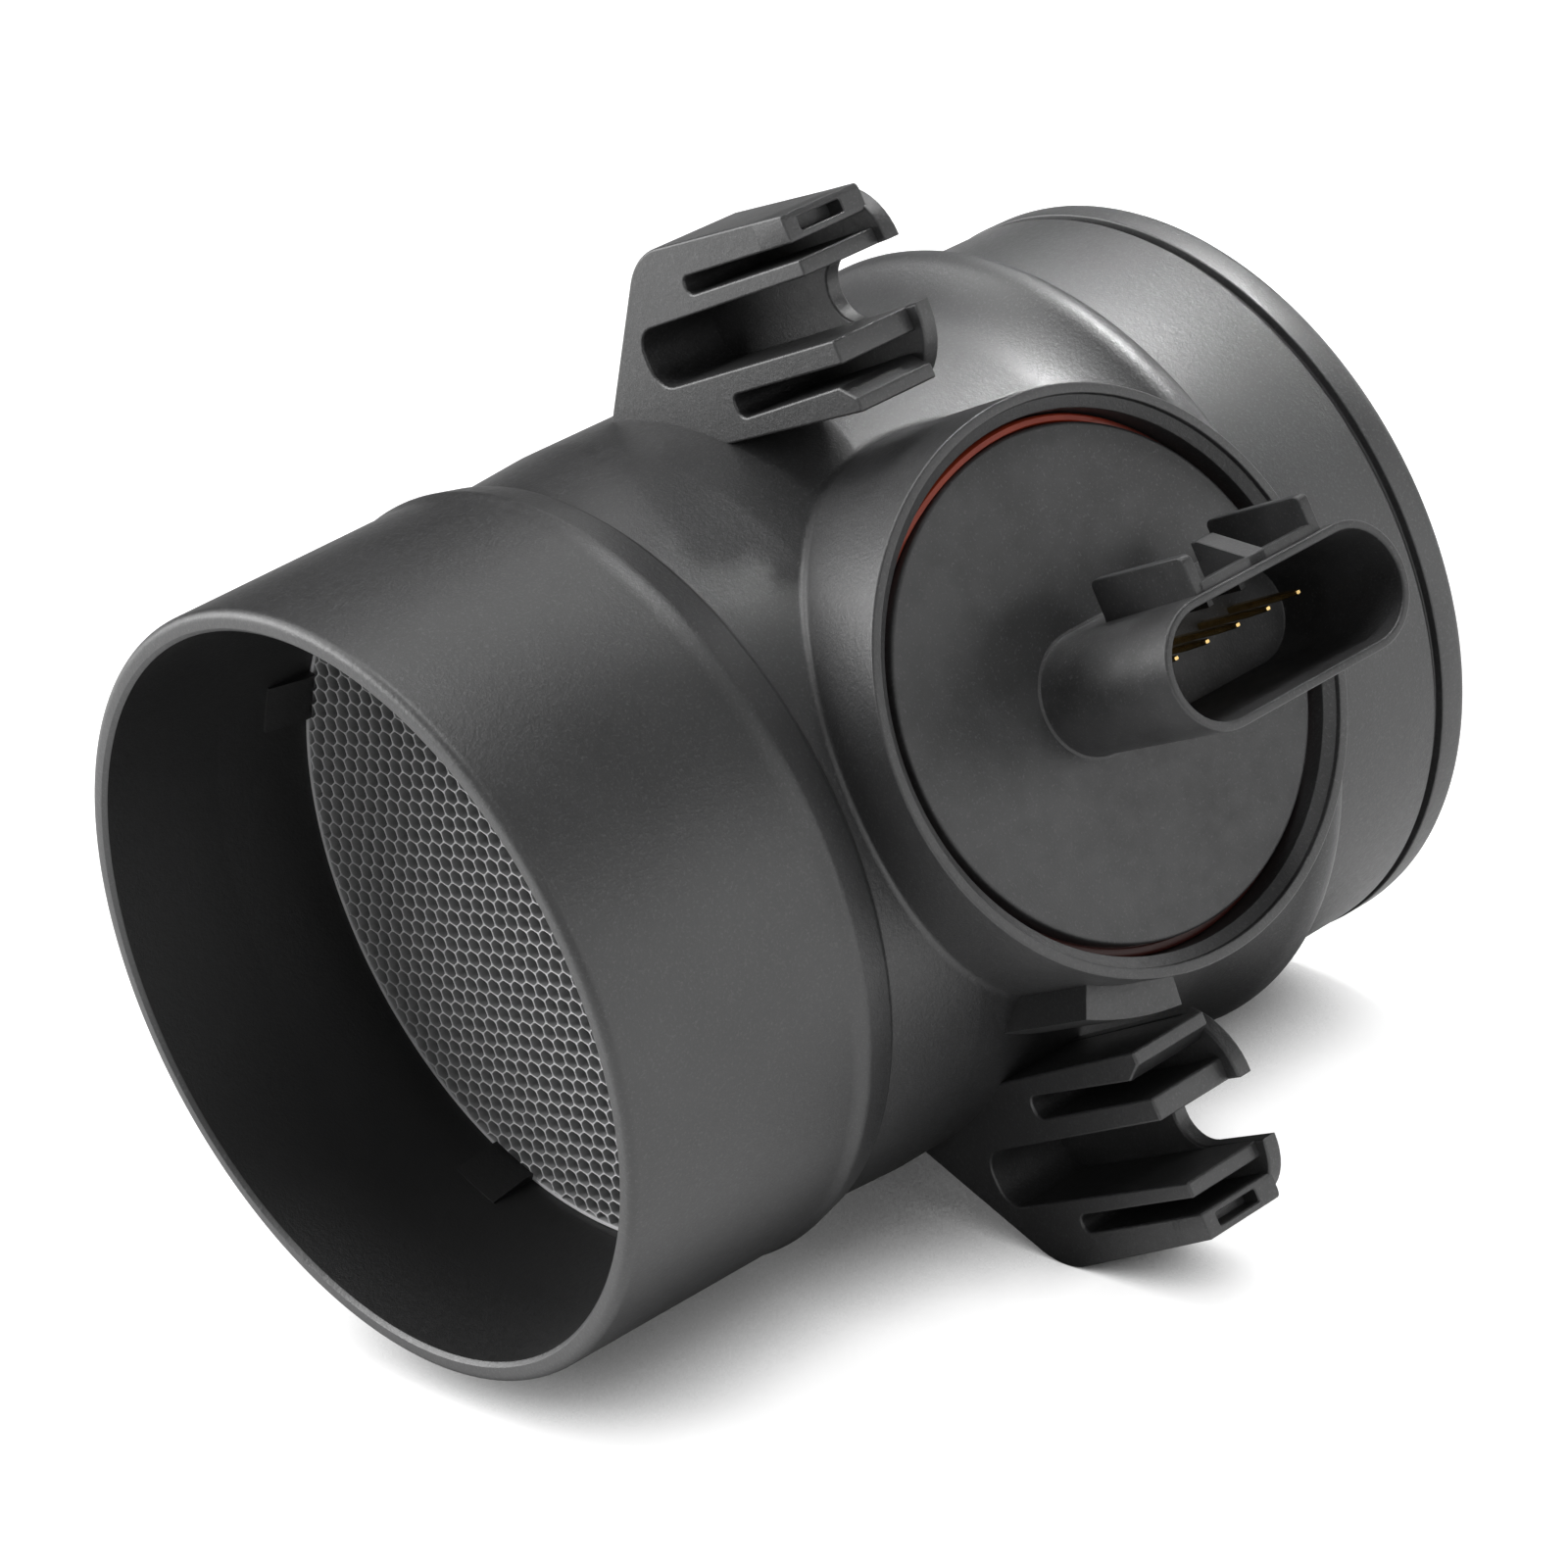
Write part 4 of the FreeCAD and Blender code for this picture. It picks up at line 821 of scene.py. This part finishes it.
def grey(value):
    return (value, value * 1.005, value * 1.03)


def moulded_plastic():
    """Charcoal plastic with a fine matte grain, cloudy at the scale of centimetres, with pale
    specks where the grain stands up. The bore is painted near black, as painted shade."""
    n = Nodes("housing_plastic")
    cloud = n.noise(38.0, detail=4.0)
    grain = n.noise(2600.0, detail=2.0, roughness=0.7)
    coarse = n.noise(900.0, detail=3.0, roughness=0.65)
    base = n.ramp(cloud, [(0.36, grey(0.021)), (0.66, grey(0.036))])
    specks = n.ramp(grain, [(0.54, (0, 0, 0)), (0.74, (1, 1, 1))])
    colour = n.mix(n.math("MULTIPLY", specks, 0.42), base, grey(0.13))
    # painted shade: all of the housing nearer the duct's axis than the inlet bore, the whole bore, is
    # painted near black
    colour = n.mix(n.from_axis(INLET_BORE * MM, (INLET_BORE + 0.2) * MM), grey(0.005), colour)
    rough = n.math("MULTIPLY_ADD", coarse, 0.18, 0.36)
    n.bump([(grain, 0.60, 0.00007), (coarse, 0.40, 0.00012)])
    return n.finish(Base_Color=colour, Roughness=rough, Specular_IOR_Level=1.0)


def cover_plastic():
    """Charcoal plastic, cloudier than the housing's, with dust in its grain."""
    n = Nodes("cover_plastic")
    cloud = n.noise(55.0, detail=5.0, roughness=0.6)
    fine = n.noise(420.0, detail=4.0, roughness=0.7)
    grain = n.noise(3000.0, detail=2.0)
    base = n.ramp(cloud, [(0.40, grey(0.019)), (0.62, grey(0.048))])
    dust = n.ramp(grain, [(0.58, (0, 0, 0)), (0.74, (1, 1, 1))])
    colour = n.mix(n.math("MULTIPLY", dust, 0.35), base, grey(0.17))
    rough = n.math("MULTIPLY_ADD", fine, 0.30, 0.32)
    n.bump([(grain, 0.45, 0.00006), (fine, 0.22, 0.00012)])
    return n.finish(Base_Color=colour, Roughness=rough, Specular_IOR_Level=0.8)


def seal_rubber():
    """Orange-red rubber where it swells. Lower down, in the gap beside the cover, it is painted
    dark as painted shade.
    """
    n = Nodes("seal_rubber")
    cloud = n.noise(120.0)
    colour = n.ramp(cloud, [(0.3, (0.30, 0.026, 0.006)), (0.75, (0.44, 0.055, 0.014))])
    # painted shade: below 55.1 mm along the puck's axis the seal is painted dark, and it reaches its
    # own colour at 56.2 mm
    clear_of_painted_shade = n.along(tuple(PUCK), 55.1 * MM, 56.2 * MM)
    colour = n.mix(clear_of_painted_shade, (0.06, 0.010, 0.006), colour)
    n.bump([(n.noise(1500.0), 0.2, 0.00005)])
    return n.finish(Base_Color=colour, Roughness=0.45)


def foil():
    """Pale foil, with painted shade that darkens it with depth inside the cells."""
    n = Nodes("honeycomb_foil")
    cloud = n.noise(400.0, detail=4.0)
    colour = n.ramp(cloud, [(0.3, (0.80, 0.80, 0.81)), (0.75, (0.96, 0.96, 0.97))])
    # painted shade: the foil goes from its own colour at the cells' mouths to near black 2.4 mm in
    depth = n.along((1, 0, 0), STRAIGHTENER_X * MM, (STRAIGHTENER_X + 2.4) * MM)
    lit = n.ramp(depth, [(0.0, (1, 1, 1)), (0.1, (0.55, 0.55, 0.55)), (1.0, (0.03, 0.03, 0.03))])
    colour = n.mix(lit, (0.02, 0.02, 0.02), colour)
    n.bump([(n.noise(1800.0, detail=3.0), 0.35, 0.00008)])
    return n.finish(Base_Color=colour, Metallic=0.0, Roughness=0.4)


def metal(name, low, high, roughness, scale=900.0):
    """Bare metal between two colours, with a fine grain."""
    n = Nodes(name)
    colour = n.ramp(n.noise(scale, detail=4.0), [(0.3, low), (0.75, high)])
    n.bump([(n.noise(scale * 2.5), 0.15, 0.00003)])
    return n.finish(Base_Color=colour, Metallic=1.0, Roughness=roughness)


def plain_case(name, low, high, roughness, scale=700.0):
    """A finish between two colours that is no metal, with a fine grain."""
    n = Nodes(name)
    colour = n.ramp(n.noise(scale, detail=4.0), [(0.3, low), (0.75, high)])
    n.bump([(n.noise(scale * 3.0), 0.2, 0.00004)])
    return n.finish(Base_Color=colour, Roughness=roughness)


def dress(piece, material):
    piece.data.materials.clear()
    piece.data.materials.append(material)


def make_materials():
    return {
        "housing_plastic": moulded_plastic(),
        "cover_plastic": cover_plastic(),
        "seal_rubber": seal_rubber(),
        "honeycomb_foil": foil(),
        "pin_gold": metal("pin_gold", (0.62, 0.40, 0.14), (0.86, 0.62, 0.27), 0.26),
        "prong_steel": metal("prong_steel", (0.52, 0.51, 0.48), (0.70, 0.69, 0.66), 0.3),
        "plate_aluminium": metal("plate_aluminium", (0.60, 0.60, 0.61), (0.76, 0.76, 0.77), 0.38),
        "board_laminate": plain_case("board_laminate", (0.02, 0.11, 0.05), (0.04, 0.17, 0.08), 0.35),
        "chip_case": plain_case("chip_case", (0.016, 0.016, 0.017), (0.030, 0.030, 0.032), 0.5),
        "capacitor_ceramic": plain_case("capacitor_ceramic", (0.36, 0.28, 0.18), (0.50, 0.40, 0.28),
                                        0.5),
        "film_ceramic": plain_case("film_ceramic", (0.66, 0.66, 0.62), (0.80, 0.80, 0.76), 0.4),
        "bead_glass": plain_case("bead_glass", (0.10, 0.06, 0.03), (0.20, 0.13, 0.08), 0.15),
        "bypass_plastic": plain_case("bypass_plastic", grey(0.028), grey(0.042), 0.42),
    }


def light(name, spot, target, size, power, spread=math.pi):
    """A rectangular lamp at a spot, turned to a target."""
    lamp = bpy.data.lights.new(name, "AREA")
    lamp.shape = "RECTANGLE"
    lamp.size, lamp.size_y = size
    lamp.energy = power
    lamp.spread = spread
    holder = bpy.data.objects.new(name, lamp)
    holder.location = spot
    holder.rotation_euler = (Vector(target) - Vector(spot)).to_track_quat("-Z", "Y").to_euler()
    bpy.context.scene.collection.objects.link(holder)


def softbox(name, direction, power):
    """A square lamp in a direction from the part, turned to it."""
    middle = Vector(LAMP_AIM)
    spot = middle + Vector(direction).normalized() * LAMP_DISTANCE
    light(name, spot, middle, LAMP_SIZE, power)


def make_lights():
    softbox("rear_left", (-0.45, 0.85, 0.25), 5.5)
    softbox("left", (-0.75, 0.55, 0.40), 7.5)
    softbox("upper_left", (-0.35, 0.55, 0.75), 4.0)
    softbox("overhead", (0.0, 0.0, 1.0), 6.0)
    softbox("rear_right", (0.64, 0.33, 0.69), 2.1)
    softbox("front", (0.0, -0.95, 0.35), 1.8)
    softbox("front_left", (-0.7, -0.65, 0.4), 1.1)
    softbox("right", (0.95, -0.1, 0.35), 2.5)
    softbox("front_right", (0.57, -0.80, 0.10), 1.9)
    light("outlet_spot", (0.24, -0.04, 0.33), (0.135, -0.01, 0.05), (0.08, 0.08), 0.045,
          spread=math.radians(24))


def make_world():
    """White where the camera sees it, and a dim grey for every other ray."""
    world = bpy.data.worlds.new("studio")
    bpy.context.scene.world = world
    world.use_nodes = True
    tree = world.node_tree
    shade = tree.nodes["Background"]
    shade.inputs["Color"].default_value = (1, 1, 1, 1)
    path = tree.nodes.new("ShaderNodeLightPath")
    choose = tree.nodes.new("ShaderNodeMix")
    choose.inputs[2].default_value = WORLD_LIGHT
    choose.inputs[3].default_value = 1.0
    tree.links.new(path.outputs["Is Camera Ray"], choose.inputs[0])
    tree.links.new(choose.outputs[0], shade.inputs["Strength"])


def make_floor(low):
    """Paper that glows white towards the camera and in the part's gloss. The glow fades where the
    part covers the paper, and that makes the soft shadow at the contact."""
    size = FLOOR_SIZE
    mesh = bpy.data.meshes.new("floor")
    mesh.from_pydata([(-size, -size, low), (size, -size, low), (size, size, low), (-size, size, low)],
                     [], [(0, 1, 2, 3)])
    floor = bpy.data.objects.new("floor", mesh)
    bpy.context.scene.collection.objects.link(floor)
    n = Nodes("floor_paper")
    path = n.add("ShaderNodeLightPath").outputs
    open_sky = n.add("ShaderNodeAmbientOcclusion", samples=8, Distance=CONTACT_REACH).outputs["AO"]
    glow = n.math("MULTIPLY", n.span(open_sky, 0.12, 0.58), FLOOR_GLOW)
    gleam = n.math("MULTIPLY", n.span(open_sky, 0.50, 0.95), FLOOR_GLEAM)
    seen = n.math("MULTIPLY", path["Is Camera Ray"], glow)
    mirrored = n.math("MULTIPLY", path["Is Glossy Ray"], gleam)
    n.link(n.math("ADD", seen, mirrored), n.shader.inputs["Emission Strength"])
    dress(floor, n.finish(Base_Color=(0.32, 0.32, 0.32), Roughness=0.9,
                          Emission_Color=(1.0, 1.0, 1.0)))


def make_camera():
    """The photograph's camera, set by its place, view direction and roll in the row frame."""
    ahead = Vector(CAMERA_AHEAD).normalized()
    roll = math.radians(CAMERA_ROLL)
    level = ahead.cross(Vector((0, 0, 1))).normalized()
    above = level.cross(ahead)
    right = math.cos(roll) * level + math.sin(roll) * above
    up = right.cross(ahead)
    lens = bpy.data.cameras.new("camera")
    lens.lens, lens.sensor_width = CAMERA_LENS, 36.0
    lens.clip_start, lens.clip_end = 0.01, 20.0
    camera = bpy.data.objects.new("camera", lens)
    turned = Matrix((right, up, -ahead)).transposed().to_4x4()
    camera.matrix_world = Matrix.Translation(Vector(CAMERA_PLACE)) @ turned
    bpy.context.scene.collection.objects.link(camera)
    bpy.context.scene.camera = camera


make_camera()
materials = make_materials()
made = {
    "housing_plastic": make_housing(),
    "cover_plastic": make_cover(),
    "seal_rubber": make_seal(),
    "honeycomb_foil": make_honeycomb(),
}
pieces = list(made.items()) + [("pin_gold", make_pin(place)) for place in range(PIN_COUNT)]
for slot, piece in pieces:
    dress(piece, materials[slot])
    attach(piece, "root")
slots = {part["node"]: part["material_slot"] for part in frame["record"]["subparts"]}
for name, node in frame["nodes"].items():
    dress(node, materials[slots[name]])
make_floor(cad_bounds[0][2])
make_lights()
make_world()
bpy.context.scene.view_settings.view_transform = "Standard"
